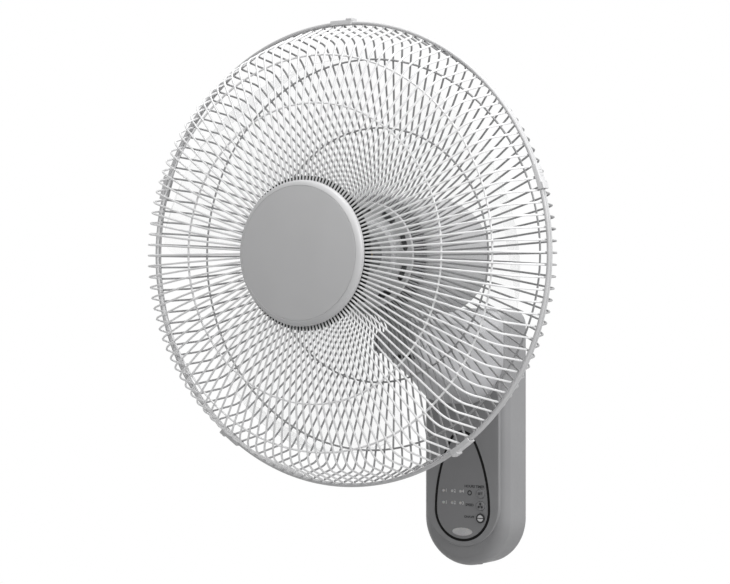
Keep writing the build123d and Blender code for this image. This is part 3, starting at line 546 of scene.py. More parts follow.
# ------------------------------------------------------------------ mesh making
class Shape:
    """Faces of one piece, gathered in millimetres and then turned into an object."""

    TIP_PUSH = 0.35  # how far a tube's rounded tip reaches past its end, in radii
    TIP_WIDTH = 0.6  # width of that tip, as a share of the tube's
    ROUNDING_STEPS = 3

    def __init__(self, name: str) -> None:
        """Start an empty piece.

        Args:
            name: Name of the object that it becomes.
        """
        self.name = name
        self.corners: list[Triple] = []
        self.faces: list[tuple[int, ...]] = []

    def grid(self, rows: Sequence[Sequence[Triple]], round_rows: bool, round_columns: bool) -> None:
        """Skin a table of points with quads.

        Args:
            rows: Rows of points, all of the same length.
            round_rows: Join the last row to the first.
            round_columns: Join the last point of each row to its first.
        """
        start = len(self.corners)
        count, width = len(rows), len(rows[0])
        for row in rows:
            self.corners.extend(row)
        for i in range(count if round_rows else count - 1):
            for j in range(width if round_columns else width - 1):
                here, below = start + i * width, start + (i + 1) % count * width
                self.faces.append(
                    (here + j, here + (j + 1) % width, below + (j + 1) % width, below + j)
                )

    def cap(self, ring: Sequence[Triple]) -> None:
        """Close a loop of points with one flat face.

        Args:
            ring: The loop's points, in order.
        """
        start = len(self.corners)
        self.corners.extend(ring)
        self.faces.append(tuple(range(start, start + len(ring))))

    def turned(
        self,
        outline: Sequence[Pair],
        segments: int = 96,
        first: float = 0.0,
        sweep: float = 360.0,
        closed: bool = True,
    ) -> None:
        """Turn an outline about the head's axis.

        Args:
            outline: (radius, forward) corners.
            segments: Steps around the axis.
            first: Angle that the sweep starts at.
            sweep: Degrees that it covers.
            closed: Join the outline's last corner to its first.
        """
        full = abs(sweep) >= 360.0
        steps = segments if full else segments + 1
        rows = [
            [HEAD.point(r, first + sweep * step / segments, forward) for r, forward in outline]
            for step in range(steps)
        ]
        self.grid(rows, full, closed)
        if closed and not full:
            self.cap(rows[0])
            self.cap(rows[-1])

    def tube(
        self, path: Sequence[Triple], radius: float, sides: int = 10, closed: bool = False
    ) -> None:
        """Sweep a round section along a path, with rounded ends where it is open.

        Args:
            path: Points of the centre line.
            radius: Radius of the section.
            sides: Corners of the section.
            closed: The path is a loop.
        """
        points = [Vector(point) for point in path]
        count = len(points)
        section = circle((0.0, 0.0), radius, sides)
        rows = []
        normal = Vector()
        for i, point in enumerate(points):
            ahead = points[(i + 1) % count] if closed or i + 1 < count else point
            behind = points[i - 1] if closed or i else point
            along = (ahead - behind).normalized()
            if i == 0:
                normal = along.orthogonal().normalized()
            normal = (normal - along * normal.dot(along)).normalized()
            across = along.cross(normal)
            rows.append([tuple(point + normal * u + across * v) for u, v in section])
        if not closed:
            rows.insert(0, self._end_ring(rows[0], points[0], points[0] - points[1], radius))
            rows.append(self._end_ring(rows[-1], points[-1], points[-1] - points[-2], radius))
        self.grid(rows, closed, True)
        if not closed:
            self.cap(rows[0])
            self.cap(rows[-1])

    @staticmethod
    def _end_ring(
        ring: Sequence[Triple], centre: Vector, outward: Vector, radius: float
    ) -> list[Triple]:
        """Smaller ring just beyond a tube's end, which rounds it off.

        Args:
            ring: The tube's last ring.
            centre: Its middle.
            outward: Direction out of the tube.
            radius: The tube's radius.

        Returns:
            The smaller ring.
        """
        push = outward.normalized() * radius * Shape.TIP_PUSH
        width = Shape.TIP_WIDTH
        return [tuple(centre + (Vector(corner) - centre) * width + push) for corner in ring]

    def slab(
        self,
        outline: Sequence[Pair],
        place: Callable[[float, float, float], Triple],
        low: float,
        high: float,
    ) -> None:
        """Extrude a flat outline.

        Args:
            outline: Corners in the slab's own plane.
            place: Turns (right, up, out) into a point of the shared frame.
            low: Where the slab starts, along its normal.
            high: Where it ends.
        """
        bottom = [place(x, y, low) for x, y in outline]
        top = [place(x, y, high) for x, y in outline]
        self.grid([bottom, top], False, True)
        self.cap(bottom)
        self.cap(top)

    def blob(self, centre: Triple, half: Triple, sides: int = 8) -> None:
        """Squashed ball, such as a spot of weld.

        Args:
            centre: Its middle.
            half: Half its size along X, Y and Z.
            sides: Corners of its widest ring.
        """
        (x, y, z), (wide, deep, tall) = centre, half
        tips = [math.pi * (i / (sides // 2) - 0.5) for i in range(sides // 2 + 1)]
        rows = [
            [
                (x + wide * u, y + deep * v, z + tall * math.sin(tip))
                for u, v in circle((0.0, 0.0), math.cos(tip), sides)
            ]
            for tip in tips
        ]
        self.grid(rows, False, True)

    def finish(
        self,
        look: Look,
        body: Body,
        replaces: Sequence[str] = (),
        crease: float = 32.0,
        edge: float = 0.0,
    ) -> bpy.types.Object:
        """Make the object, and hang it on its body.

        Args:
            look: Its finish.
            body: The moving body that it rides on.
            replaces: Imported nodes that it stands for.
            crease: Edges sharper than this many degrees stay sharp.
            edge: Width of a small rounding on those edges, or 0 for none.

        Returns:
            The object.
        """
        mesh = bpy.data.meshes.new(self.name)
        scaled = [(x * MM, y * MM, z * MM) for x, y, z in self.corners]
        mesh.from_pydata(scaled, [], self.faces)
        work = bmesh.new()
        work.from_mesh(mesh)
        bmesh.ops.remove_doubles(work, verts=work.verts, dist=SAME_CORNER * MM)
        bmesh.ops.dissolve_degenerate(work, edges=work.edges, dist=SHORTEST_EDGE * MM)
        bmesh.ops.recalc_face_normals(work, faces=work.faces)
        work.to_mesh(mesh)
        work.free()
        mesh.shade_smooth()
        mesh.set_sharp_from_angle(angle=math.radians(crease))
        piece = bpy.data.objects.new(self.name, mesh)
        bpy.context.scene.collection.objects.link(piece)
        piece.data.materials.append(look.material())
        if edge:
            bevel = piece.modifiers.new("small_rounding", "BEVEL")
            bevel.width = edge * MM
            bevel.segments = self.ROUNDING_STEPS
            bevel.limit_method = "ANGLE"
            bevel.angle_limit = math.radians(crease)
            bevel.harden_normals = True
        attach(piece, body.value)
        if replaces:
            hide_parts(*replaces)
        LOG.info("%s: %d faces on %s", self.name, len(mesh.polygons), body.value)
        return piece


def bent_line(corners: Sequence[Pair], bends: Sequence[float], steps: int = 8) -> list[Pair]:
    """Round the inner corners of an open outline.

    Args:
        corners: Corners of the straight outline.
        bends: Radius at each inner corner.
        steps: Points along each bend.

    Returns:
        The outline with its bends as points.
    """
    line = [corners[0]]
    for i, radius in enumerate(bends, start=1):
        before, corner, after = (Vector(corners[k]) for k in (i - 1, i, i + 1))
        way_in = (corner - before).normalized()
        way_out = (after - corner).normalized()
        turn = way_in.angle_signed(way_out)
        reach = radius * math.tan(abs(turn) / 2)
        side = Vector((way_in.y, -way_in.x)) * (1 if turn > 0 else -1)
        start = corner - way_in * reach
        centre = start + side * radius
        for step in range(steps + 1):
            spoke = (start - centre).copy()
            spoke.rotate(Matrix.Rotation(-turn * step / steps, 2))
            line.append(tuple(centre + spoke))
    line.append(corners[-1])
    return line


def on_face(right: float, up: float, out: float) -> Triple:
    """Place a point on a plane parallel to the wall.

    Args:
        right: Distance to the right of the box's middle.
        up: Height above it.
        out: Distance in front of the wall.

    Returns:
        The point in the shared frame.
    """
    return (right, -out, up)


def circle(centre: Pair, radius: float, count: int = 40, first: float = 0.0) -> list[Pair]:
    """Corners of a circle.

    Args:
        centre: Its middle.
        radius: Its radius.
        count: Number of corners.
        first: Angle of the first corner, in degrees.

    Returns:
        The corners, counter-clockwise.
    """
    turns = [math.radians(first + 360.0 * k / count) for k in range(count)]
    return [(centre[0] + radius * math.cos(t), centre[1] + radius * math.sin(t)) for t in turns]


# ------------------------------------------------------------------ sub-assemblies
@dataclass
class SubAssembly:
    """Part of the fan that is built and dressed together.

    Attributes:
        looks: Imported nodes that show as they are, behind the finish that they get.
    """

    looks: Looks = ()

    def build(self) -> None:
        """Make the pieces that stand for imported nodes, and dress the other nodes."""
        self.make()
        for look, nodes in self.looks:
            for node in nodes:
                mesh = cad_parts[node].data
                mesh.materials.clear()
                mesh.materials.append(look.material())
                LOG.info("%s: packed node dressed with %s", node, look.value.name)

    def make(self) -> None:
        """Make the sub-assembly's own pieces, where it has any."""


@dataclass
class Cage(SubAssembly):
    """Two guards of bent wire on welded rings, joined at the hoop."""

    wire_count: int = 120
    wire_radius: float = 1.0
    wire_crease: float = 60.0
    ring_steps: int = 240
    front_run: Line = ((60.0, 72.2), (146.0, 60.6), (205.0, 44.4), (220.43, 1.9))
    front_bends: tuple[float, ...] = (300.0, 22.0)
    rear_run: Line = (
        (50.0, -47.4), (71.0, -65.0), (118.0, -65.5), (212.5, -37.5), (220.37, -1.9),
    )
    rear_bends: tuple[float, ...] = (10.0, 30.0, 12.0)
    front_rings: Line = ((62.0, 69.89), (142.6, 58.52), (189.0, 46.69))
    rear_rings: Line = ((126.0, -61.02), (192.0, -41.46))
    rim_radius: float = 223.2
    rim_wire: float = 1.85
    rim_forward: float = 1.87
    rim_sides: int = 14
    weld: Triple = (1.35, 0.9, 1.35)
    weld_sides: int = 6

    def make(self) -> None:
        """Build both guards."""
        self._wires("front", self.front_run, self.front_bends, Look.WIRE)
        # The rear guard's wires and rings get the darker copy of the coating, as painted shade.
        self._wires("rear", self.rear_run, self.rear_bends, Look.SHADED_REAR_WIRE)
        self._rings("front", self.front_rings, Look.WIRE)
        self._rings("rear", self.rear_rings, Look.SHADED_REAR_WIRE)
        self._rim("front", self.rim_forward)
        self._rim("rear", -self.rim_forward)

    def _turns(self) -> list[float]:
        """Angles of the spokes.

        Returns:
            The angles in degrees.
        """
        return [360.0 * k / self.wire_count for k in range(self.wire_count)]

    def _loop(self, radius: float, forward: float) -> list[Triple]:
        """Centre line of a ring.

        Args:
            radius: Its radius.
            forward: Where it lies.

        Returns:
            The ring's points.
        """
        step = 360.0 / self.ring_steps
        return [HEAD.point(radius, step * k, forward) for k in range(self.ring_steps)]

    def _coat(self, shape: Shape, look: Look) -> None:
        """Finish one piece of a guard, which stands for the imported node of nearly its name.

        Args:
            shape: The piece.
            look: The wire's finish.
        """
        node = shape.name.replace("_", "_guard_")
        shape.finish(look, Body.HEAD, [node], crease=self.wire_crease)

    def _wires(self, side: str, run: Sequence[Pair], bends: Sequence[float], look: Look) -> None:
        """Build one guard's spokes.

        Args:
            side: Which guard.
            run: Corners of a spoke's centre line.
            bends: Bend radius at each inner corner.
            look: The wire's finish.
        """
        line = bent_line(run, bends)
        shape = Shape(f"{side}_wires")
        for turn in self._turns():
            shape.tube([HEAD.point(r, turn, f) for r, f in line], self.wire_radius)
        self._coat(shape, look)

    def _rings(self, side: str, rings: Sequence[Pair], look: Look) -> None:
        """Build one guard's inner rings with a spot of weld at every crossing.

        Args:
            side: Which guard.
            rings: (radius, forward) of each ring.
            look: The wire's finish.
        """
        shape = Shape(f"{side}_rings")
        towards_wires = self.wire_radius if side == "front" else -self.wire_radius
        for radius, forward in rings:
            shape.tube(self._loop(radius, forward), self.wire_radius, closed=True)
            for turn in self._turns():
                spot = HEAD.point(radius, turn, forward + towards_wires)
                shape.blob(spot, self.weld, self.weld_sides)
        self._coat(shape, look)

    def _rim(self, side: str, forward: float) -> None:
        """Build one guard's thick outer ring.

        Args:
            side: Which guard.
            forward: Where it lies.
        """
        shape = Shape(f"{side}_rim")
        loop = self._loop(self.rim_radius, forward)
        shape.tube(loop, self.rim_wire, self.rim_sides, closed=True)
        self._coat(shape, Look.RIM)


def mirrored(half: Sequence[Pair]) -> list[Pair]:
    """Complete an outline with its mirror image about the hoop's plane.

    Args:
        half: (radius, forward) corners on one side of the plane.

    Returns:
        The whole outline.
    """
    return [*half, *((radius, -forward) for radius, forward in reversed(half))]


@dataclass
class Clips(SubAssembly):
    """Five plastic clips that hug both rims, each with a thumb tab at its clockwise end.

    Attributes:
        strap_edge: Rounded edge of the strap, as (down from its top, in from its lip).
        tab_edge: The same for the tab.
        rib: One grip rib, as (up from the strap, half its length).
    """

    count: int = 5
    first: float = 18.0
    half: float = 3.0
    steps: int = 12
    inner: float = 221.6
    seat: float = 225.1
    seat_half: float = 3.77
    lip: float = 5.2
    strap: float = 226.3
    strap_edge: Line = ((0.9, 0.0), (0.25, 0.3), (0.0, 0.9))
    tab_turn: float = 1.6
    tab_ahead: float = 0.05
    tab_steps: int = 4
    tab_root: float = 0.6
    outer: float = 228.0
    tab_edge: Line = ((0.7, 0.0), (0.0, 0.8))
    rib: Line = ((-0.1, 3.4), (0.3, 2.9))
    rib_turn: float = 0.22
    rib_places: tuple[float, ...] = (0.2, 0.9, 1.6)

    def make(self) -> None:
        """Build the clips."""
        clips = Shape("clip_skins")
        for k in range(self.count):
            self._clip(clips, self.first + 360.0 / self.count * k)
        clips.finish(Look.HOOP, Body.HEAD, ["guard_clips"], crease=40.0, edge=0.3)

    def _clip(self, shape: Shape, middle: float) -> None:
        """Add one clip.

        Args:
            shape: The piece that gets it.
            middle: Angle of its middle.
        """
        lip, start = self.lip, middle - self.half
        seat = mirrored([(self.inner, self.seat_half), (self.seat, self.seat_half)])
        strap = [(self.strap - down, into - lip) for down, into in self.strap_edge]
        strap.insert(0, (self.inner, -lip))
        shape.turned(seat + mirrored(strap), self.steps, start, 2 * self.half)
        tab = [(self.outer - down, into - lip) for down, into in self.tab_edge]
        tab.insert(0, (self.strap - self.tab_root, -lip))
        shape.turned(mirrored(tab), self.tab_steps, start - self.tab_ahead, self.tab_turn)
        rib = mirrored([(self.strap + rise, -length) for rise, length in self.rib])
        for place in self.rib_places:
            shape.turned(rib, 2, middle + place, self.rib_turn)


@dataclass
class Badge(SubAssembly):
    """Bare domed disc in the middle of the front guard, on its ring and pins.

    Attributes:
        seat: Section of the black ring behind it, the disc's seat, which reaches past the disc's
            edge so that its black rim stands as painted shade.
        bead: Section of its groove, its edge and the back of its edge.
    """

    looks: Looks = ((Look.SCREW, ("badge_screws",)),)
    dome_radius: float = 63.0
    peak: float = 83.4
    shoulder: float = 80.0
    hollow_radius: float = 62.5
    hollow_forward: float = 77.6
    hollow_rise: float = 3.5
    dome_steps: int = 24
    pin_count: int = 6
    pin_circle: float = 52.0
    pin_radius: float = 2.5
    pin_ends: Pair = (70.1, 79.0)
    seat: Line = (
        (46.0, 66.8), (72.6, 66.8), (73.2, 67.4), (73.2, 68.4), (72.8, 68.8), (46.0, 68.8),
    )
    bead: Line = (
        (63.2, 79.62), (63.6, 79.6), (63.9, 79.85), (64.4, 79.72), (65.4, 79.25), (66.4, 78.75),
        (67.3, 78.1), (68.0, 77.35), (68.55, 76.5), (68.9, 75.6), (69.0, 74.7), (69.0, 72.9),
        (68.7, 72.6), (66.8, 72.6), (66.8, 75.0), (62.5, 77.6),
    )

    def make(self) -> None:
        """Build the disc and its seat, whose black rim stands as painted shade around the disc."""
        disc = Shape("badge_disc")
        disc.turned(self._outline(), segments=160)
        for k in range(self.pin_count):
            turn = 360.0 * k / self.pin_count
            pin = [HEAD.point(self.pin_circle, turn, forward) for forward in self.pin_ends]
            disc.tube(pin, self.pin_radius, 20)
        disc.finish(Look.BADGE, Body.HEAD, ["badge"], crease=40.0)
        # Black ring wider than the disc: the seat holding it, and painted shade between the disc's
        # edge and the wires.
        seat = Shape("badge_shade_ring")
        seat.turned(self.seat, segments=144)
        seat.finish(Look.TRIM, Body.HEAD, ["badge_ring"], crease=40.0)

    def _outline(self) -> list[Pair]:
        """Section of the disc from the middle of its face around to the middle of its back.

        Returns:
            The section's (radius, forward) corners.
        """
        rise = self.peak - self.shoulder
        ball = (self.dome_radius**2 + rise**2) / (2 * rise)
        shares = [k / self.dome_steps for k in range(self.dome_steps + 1)]
        radii = [self.dome_radius * share for share in shares]
        face = [(r, self.peak - ball + math.sqrt(ball**2 - r**2)) for r in radii]
        back = [
            (self.hollow_radius * share, self.hollow_forward + self.hollow_rise * (1 - share**2))
            for share in shares[-2::-1]
        ]
        return [*face, *self.bead, *back]


@dataclass
class Propeller(SubAssembly):
    """Three broad clear blades on a hub, and the nut that holds them.

    Attributes:
        hub_nose: Rounded nose of the hub, as (in from its radius, forward).
        leading: Edge of a blade, as (radius, degrees from the blade's middle direction).
        trailing: Its other edge.
        edge_shape: How fast the thickness grows from an edge, and its least share.
        taper: Share of the thickness at the axis, and what it loses up to the tip.
    """

    looks: Looks = ((Look.NUT, ("blade_nut",)),)
    count: int = 3
    hub_radius: float = 43.0
    hub_wall: float = 2.4
    hub_back: float = -36.0
    hub_inside: float = 28.0
    hub_nose: Line = ((0.0, 24.5), (0.6, 27.0), (2.2, 29.2), (5.0, 30.7), (8.0, 31.0))
    boss_radius: float = 10.0
    bore: float = 4.03
    rib_count: int = 6
    rib_half: float = 0.8
    rib_back: float = -20.0
    rib_sunk: float = 0.2
    tip_radius: float = 192.0
    lead: float = 36.0
    thickness: float = 2.2
    corner: float = 24.0
    root: float = 41.0
    root_sunk: float = 4.0
    smoothing: float = 3.0
    edge_shape: Pair = (4.0, 0.12)
    taper: Pair = (1.15, 0.35)
    tip_share: float = 0.3
    leading: Line = ((37.9, -18.4), (89.4, -26.6), (155.3, -34.5), (187.2, -36.7), (192.0, -37.0))
    trailing: Line = ((38.6, 21.3), (76.2, 51.9), (130.0, 59.5), (192.0, 60.0))
    rows: int = 18
    corner_rows: int = 8
    columns: int = 26

    def make(self) -> None:
        """Build the blades with their hub."""
        shape = Shape("propeller")
        self._hub(shape)
        for k in range(self.count):
            self._blade(shape, 360.0 / self.count * k)
        shape.finish(Look.BLADE, Body.ROTOR, ["blade"], crease=38.0)

    def _hub(self, shape: Shape) -> None:
        """Add the cup shaped hub with its boss and inner ribs.

        Args:
            shape: The piece that gets it.
        """
        boss, back, inside = self.boss_radius, self.hub_back, self.hub_inside
        wall = self.hub_radius - self.hub_wall
        nose = [(self.hub_radius - into, forward) for into, forward in self.hub_nose]
        outline = [
            (self.bore, back),
            (boss, back),
            (boss, inside - 1.0),
            (boss + 1.0, inside),
            (wall - 1.5, inside),
            (wall, inside - 1.5),
            (wall, back),
            (self.hub_radius, back),
            *nose,
            (self.bore, nose[-1][1]),
        ]
        shape.turned(outline)
        low, high = boss - self.rib_sunk, wall + self.rib_sunk
        top = inside + self.rib_sunk
        side = [(low, self.rib_back), (high, self.rib_back), (high, top), (low, top)]
        step = 360.0 / self.rib_count
        for k in range(self.rib_count):
            rib = partial(self._on_rib, step * (k + 0.5))
            shape.slab(side, rib, -self.rib_half, self.rib_half)

    @staticmethod
    def _on_rib(turn: float, out: float, forward: float, side: float) -> Triple:
        """Place a point of one of the hub's ribs.

        Args:
            turn: Angle of the rib's middle.
            out: Distance from the axis.
            forward: Distance in front of the hoop's plane.
            side: Distance across the rib.

        Returns:
            The point in the shared frame.
        """
        return HEAD.point(out, turn + math.degrees(side / out), forward)

    def _smooth_edge(self, edge: Sequence[Pair], radius: float, side: int) -> float:
        """Edge angle averaged over a stretch of radii, and drawn in around the tip's corner.

        Args:
            edge: The edge's corners.
            radius: Distance from the axis.
            side: 1 for the leading edge and -1 for the trailing one.

        Returns:
            Degrees from the blade's own middle direction.
        """
        near = radius + self.smoothing * np.arange(-3, 4)
        near = np.clip(near, self.root - self.root_sunk, self.tip_radius)
        angle = float(np.mean(np.interp(near, *zip(*edge))))
        over = radius - (self.tip_radius - self.corner)
        if over > 0:
            inset = self.corner - math.sqrt(max(0.0, self.corner**2 - over**2))
            angle += math.degrees(inset / radius) * side
        return angle

    def _radii(self) -> list[float]:
        """Radii of a blade's rows, which gather around the tip's corner.

        Returns:
            The radii, from the root to the tip.
        """
        start = self.tip_radius - self.corner
        straight = [self.root + (start - self.root) * k / self.rows for k in range(self.rows + 1)]
        quarter = math.pi / 2 / self.corner_rows
        bend = [start + self.corner * math.sin(quarter * k) for k in range(1, self.corner_rows + 1)]
        return straight + bend

    def _blade(self, shape: Shape, middle: float) -> None:
        """Add one twisted blade with rounded edges.

        Args:
            shape: The piece that gets it.
            middle: Angle of the blade's middle direction.
        """
        rows = []
        growth, least = self.edge_shape
        at_axis, loss = self.taper
        for radius in self._radii():
            low = self._smooth_edge(self.leading, radius, 1)
            high = self._smooth_edge(self.trailing, radius, -1)
            upper, lower = [], []
            for k in range(self.columns + 1):
                part = 0.5 - 0.5 * math.cos(math.pi * k / self.columns)
                angle = low + (high - low) * part
                rise = self.lead * math.radians(angle)
                rim = min(1.0, growth * math.sin(math.pi * part) + least)
                half = self.thickness / 2 * rim * (at_axis - loss * radius / self.tip_radius)
                if radius >= self.tip_radius - SAME_CORNER:
                    half *= self.tip_share
                upper.append(HEAD.point(radius, middle + angle, rise + half))
                lower.append(HEAD.point(radius, middle + angle, rise - half))
            rows.append(upper + lower[::-1])
        shape.grid(rows, False, True)
        shape.cap(rows[0])
        shape.cap(rows[-1])


@dataclass
class MotorHead(SubAssembly):
    """Motor with its housings, the plate and nut that hold the guard, and the swing gear."""

    looks: Looks = (
        # The front bell's near black is painted shade in the gap behind the guard plate.
        (Look.BELL_SHADE, ("motor_front_bell",)),
        (Look.MOTOR, ("motor_rear_housing",)),
        (Look.PLATE, ("rear_guard_plate",)),
        (Look.NUT, ("guard_nut",)),
        (Look.SCREW, ("motor_screws",)),
        (Look.CORE, ("stator_core", "rotor_core")),
        (Look.COPPER, ("stator_windings",)),
        (Look.BRONZE, ("front_bearing", "rear_bearing")),
        (Look.ZINC, ("bearing_bracket", "swing_motor")),
        (Look.TRIM, ("run_capacitor",)),
        (Look.SHAFT, ("motor_shaft", "drive_pin")),
    )


@dataclass
class Neck(SubAssembly):
    """Arm with its tilting yoke, bolt and knob."""

    looks: Looks = (
        (Look.ARM, ("arm",)),
        (Look.SCREW, ("arm_screws", "tilt_bolt", "swing_shaft")),
        (Look.KNOB, ("tilt_knob",)),
        (Look.YOKE, ("tilt_yoke",)),
        (Look.NYLON, ("swing_washer",)),
    )


@dataclass
class WallBox(SubAssembly):
    """Box on the wall with its back, plate, screws and cable inlet."""

    looks: Looks = (
        (Look.HOUSING, ("base_housing",)),
        (Look.BACK, ("base_back",)),
        (Look.ZINC, ("wall_plate",)),
        (Look.SCREW, ("base_screws",)),
        (Look.RUBBER, ("cable_inlet",)),
        (Look.BOARD, ("control_board",)),
        (Look.TRIM, ("tact_switches", "board_parts")),
    )


# ------------------------------------------------------------------ control panel


class Mark(Enum):
    """Words and numbers that the panel carries, all of them generic."""

    ONE = "1"
    TWO = "2"
    THREE = "3"
    FOUR = "4"
    TIMER = "TIMER"
    SPEED = "SPEED"
    POWER = "ON/OFF"
    HOURS = "HOURS"
    SET = "SET"


@dataclass(frozen=True)
class Print:
    """One word or number printed on the panel.

    Attributes:
        mark: What it says.
        centre: Its middle on the panel.
        height: Height of its capitals.
    """

    mark: Mark
    centre: Pair
    height: float


@dataclass
class ControlPanel(SubAssembly):
    """Egg shaped panel with lamps, buttons, a sensor window and generic markings.

    Attributes:
        surface: Distance of the panel's face from the wall.
        ink: How far ink stands off it.
        bold: How much the letters are thickened.
        capitals: Size of a letter whose capitals are 1 high.
        gasket: Section of the band around it, as (outwards, distance from the wall); the black band
            is the gasket, widened over the panel's edge so that it also stands as painted shade of
            the groove.
    """

    looks: Looks = (
        (Look.PANEL, ("control_panel",)),
        (Look.SENSOR, ("ir_window",)),
        (Look.LENS, ("indicator_leds",)),
        (Look.BUTTON, ("button_timer", "button_speed")),
        (Look.PALE_BUTTON, ("button_power",)),
    )
    surface: float = 48.1
    ink: float = 0.06
    bold: float = 0.13
    capitals: float = 1.4
    lamp_columns: tuple[float, ...] = (-22.6, -12.2, -2.2)
    lamp_rows: tuple[float, ...] = (-56.8, -69.2)
    lamp_signs: tuple[tuple[Mark, ...], ...] = (
        (Mark.ONE, Mark.TWO, Mark.FOUR),
        (Mark.ONE, Mark.TWO, Mark.THREE),
    )
    egg_half: float = 31.0
    egg_round: float = -76.2
    egg_side: float = 157.84
    egg_crown: float = -9.5625
    egg_top: float = 14.5625
    egg_join: float = 27.2
    gasket: Line = (
        (-0.3, 45.0), (-0.3, 48.15), (-0.05, 48.3), (2.1, 48.25), (2.45, 48.0), (2.45, 45.0),
    )
    button_x: float = 22.0
    button_rows: tuple[float, ...] = (-58.5, -71.3, -84.2)
    button_front: float = 48.9
    words: tuple[Print, ...] = (
        Print(Mark.HOURS, (9.0, -51.2), 2.7),
        Print(Mark.TIMER, (21.3, -51.2), 2.7),
        Print(Mark.SPEED, (8.8, -70.8), 2.6),
        Print(Mark.POWER, (8.4, -83.4), 2.4),
    )
    number_right: float = 3.2
    number_height: float = 3.4
    set_height: float = 2.6
    hours_centre: Pair = (8.9, -58.0)
    hours_radii: Pair = (1.5, 2.8)
    lobe_circle: float = 2.1
    lobe_radius: float = 1.35
    lobe_hub: float = 0.55
    power_radii: Pair = (3.4, 4.8)
    power_bar: Pair = (3.5, 0.45)
    collar: Line = ((4.86, 47.2), (4.86, 48.95), (5.05, 48.95), (5.05, 47.2))

    def make(self) -> None:
        """Build the gasket band and print the markings."""
        self._gasket()
        self._words()
        self._lamp_marks()
        self._button_marks()

    def _egg(self, grow: float, steps: int = 24) -> list[Pair]:
        """Outline of the panel, grown outwards.

        Args:
            grow: Distance that it grows by.
            steps: Points along each of its arcs.

        Returns:
            The outline's corners.
        """
        side_centre = (self.egg_half - self.egg_side, self.egg_round)
        arcs = (
            ((0.0, self.egg_round), self.egg_half, 270.0, 360.0),
            (side_centre, self.egg_side, 0.0, self.egg_join),
            ((0.0, self.egg_crown), self.egg_top, self.egg_join, 90.0),
        )
        right = []
        for (x, z), radius, first, last in arcs:
            reach = radius + grow
            for k in range(steps):
                turn = math.radians(first + (last - first) * k / steps)
                right.append((x + reach * math.cos(turn), z + reach * math.sin(turn)))
        right.append((0.0, self.egg_crown + self.egg_top + grow))
        return right + [(-x, z) for x, z in right[-2:0:-1]]

    def _gasket(self) -> None:
        """Build the black band around the panel: the rubber gasket, with painted shade of the
        groove in its black.
        """
        band = Shape("gasket_band_and_groove_shade")
        rows = [[on_face(x, z, out) for x, z in self._egg(grow)] for grow, out in self.gasket]
        band.grid(rows, True, True)
        band.finish(Look.GASKET, Body.BASE, ["panel_gasket"], crease=50.0)

    def _text(self, shape: Shape, word: Print, out: float) -> None:
        """Add one word or number as flat ink.

        Args:
            shape: The piece that gets it.
            word: What it says, and where.
            out: Distance of the ink from the wall.
        """
        curve = bpy.data.curves.new("lettering", "FONT")
        curve.body = word.mark.value
        curve.align_x = "CENTER"
        curve.align_y = "CENTER"
        curve.size = word.height * self.capitals
        curve.resolution_u = 3
        curve.offset = self.bold
        holder = bpy.data.objects.new("lettering", curve)
        bpy.context.scene.collection.objects.link(holder)
        graph = bpy.context.evaluated_depsgraph_get()
        flat = holder.evaluated_get(graph).to_mesh()
        start = len(shape.corners)
        x, z = word.centre
        for vertex in flat.vertices:
            shape.corners.append(on_face(x + vertex.co.x, z + vertex.co.y, out))
        for face in flat.polygons:
            shape.faces.append(tuple(start + k for k in face.vertices))
        bpy.data.objects.remove(holder)
        bpy.data.curves.remove(curve)

    def _words(self) -> None:
        """Print the dark words beside the buttons."""
        words = Shape("panel_words")
        for word in self.words:
            self._text(words, word, self.surface + self.ink)
        words.finish(Look.DARK_INK, Body.BASE)

    def _lamp_marks(self) -> None:
        """Print a pale number beside each lamp."""
        numbers = Shape("lamp_numbers")
        for z, signs in zip(self.lamp_rows, self.lamp_signs):
            for x, sign in zip(self.lamp_columns, signs):
                number = Print(sign, (x + self.number_right, z), self.number_height)
                self._text(numbers, number, self.surface + self.ink)
        numbers.finish(Look.LIGHT_INK, Body.BASE)

    def _button_marks(self) -> None:
        """Print the sign of each button and the small ring beside the timer."""
        timer_at, speed_at, power_at = ((self.button_x, row) for row in self.button_rows)
        front = self.button_front + self.ink
        hours = Shape("hours_ring")
        self._rings(hours, self.hours_centre, self.hours_radii, self.surface + self.ink)
        hours.finish(Look.DARK_INK, Body.BASE)
        timer = Shape("timer_sign")
        self._text(timer, Print(Mark.SET, timer_at, self.set_height), front)
        timer.finish(Look.DARK_INK, Body.TIMER)
        speed = Shape("speed_sign")
        for x, z in circle(speed_at, self.lobe_circle, 3, first=90.0):
            speed.cap([on_face(*corner, front) for corner in circle((x, z), self.lobe_radius, 20)])
        speed.cap([on_face(*corner, front) for corner in circle(speed_at, self.lobe_hub, 16)])
        speed.finish(Look.DARK_INK, Body.SPEED)
        power = Shape("power_sign")
        self._rings(power, power_at, self.power_radii, front)
        half, thin = self.power_bar
        bar = ((-half, -thin), (half, -thin), (half, thin), (-half, thin))
        power.cap([on_face(power_at[0] + x, power_at[1] + z, front) for x, z in bar])
        power.finish(Look.DARK_INK, Body.POWER)
        collar = Shape("power_collar")
        rows = [[on_face(*corner, out) for corner in circle(power_at, r)] for r, out in self.collar]
        collar.grid(rows, True, True)
        collar.finish(Look.TRIM, Body.BASE, crease=40.0)

    @staticmethod
    def _rings(shape: Shape, centre: Pair, radii: Pair, out: float) -> None:
        """Add a flat ring.

        Args:
            shape: The piece that gets it.
            centre: Its middle.
            radii: Its inner and outer radius.
            out: Distance of the ink from the wall.
        """
        rows = [[on_face(*corner, out) for corner in circle(centre, r, 32)] for r in radii]
        shape.grid(rows, False, True)


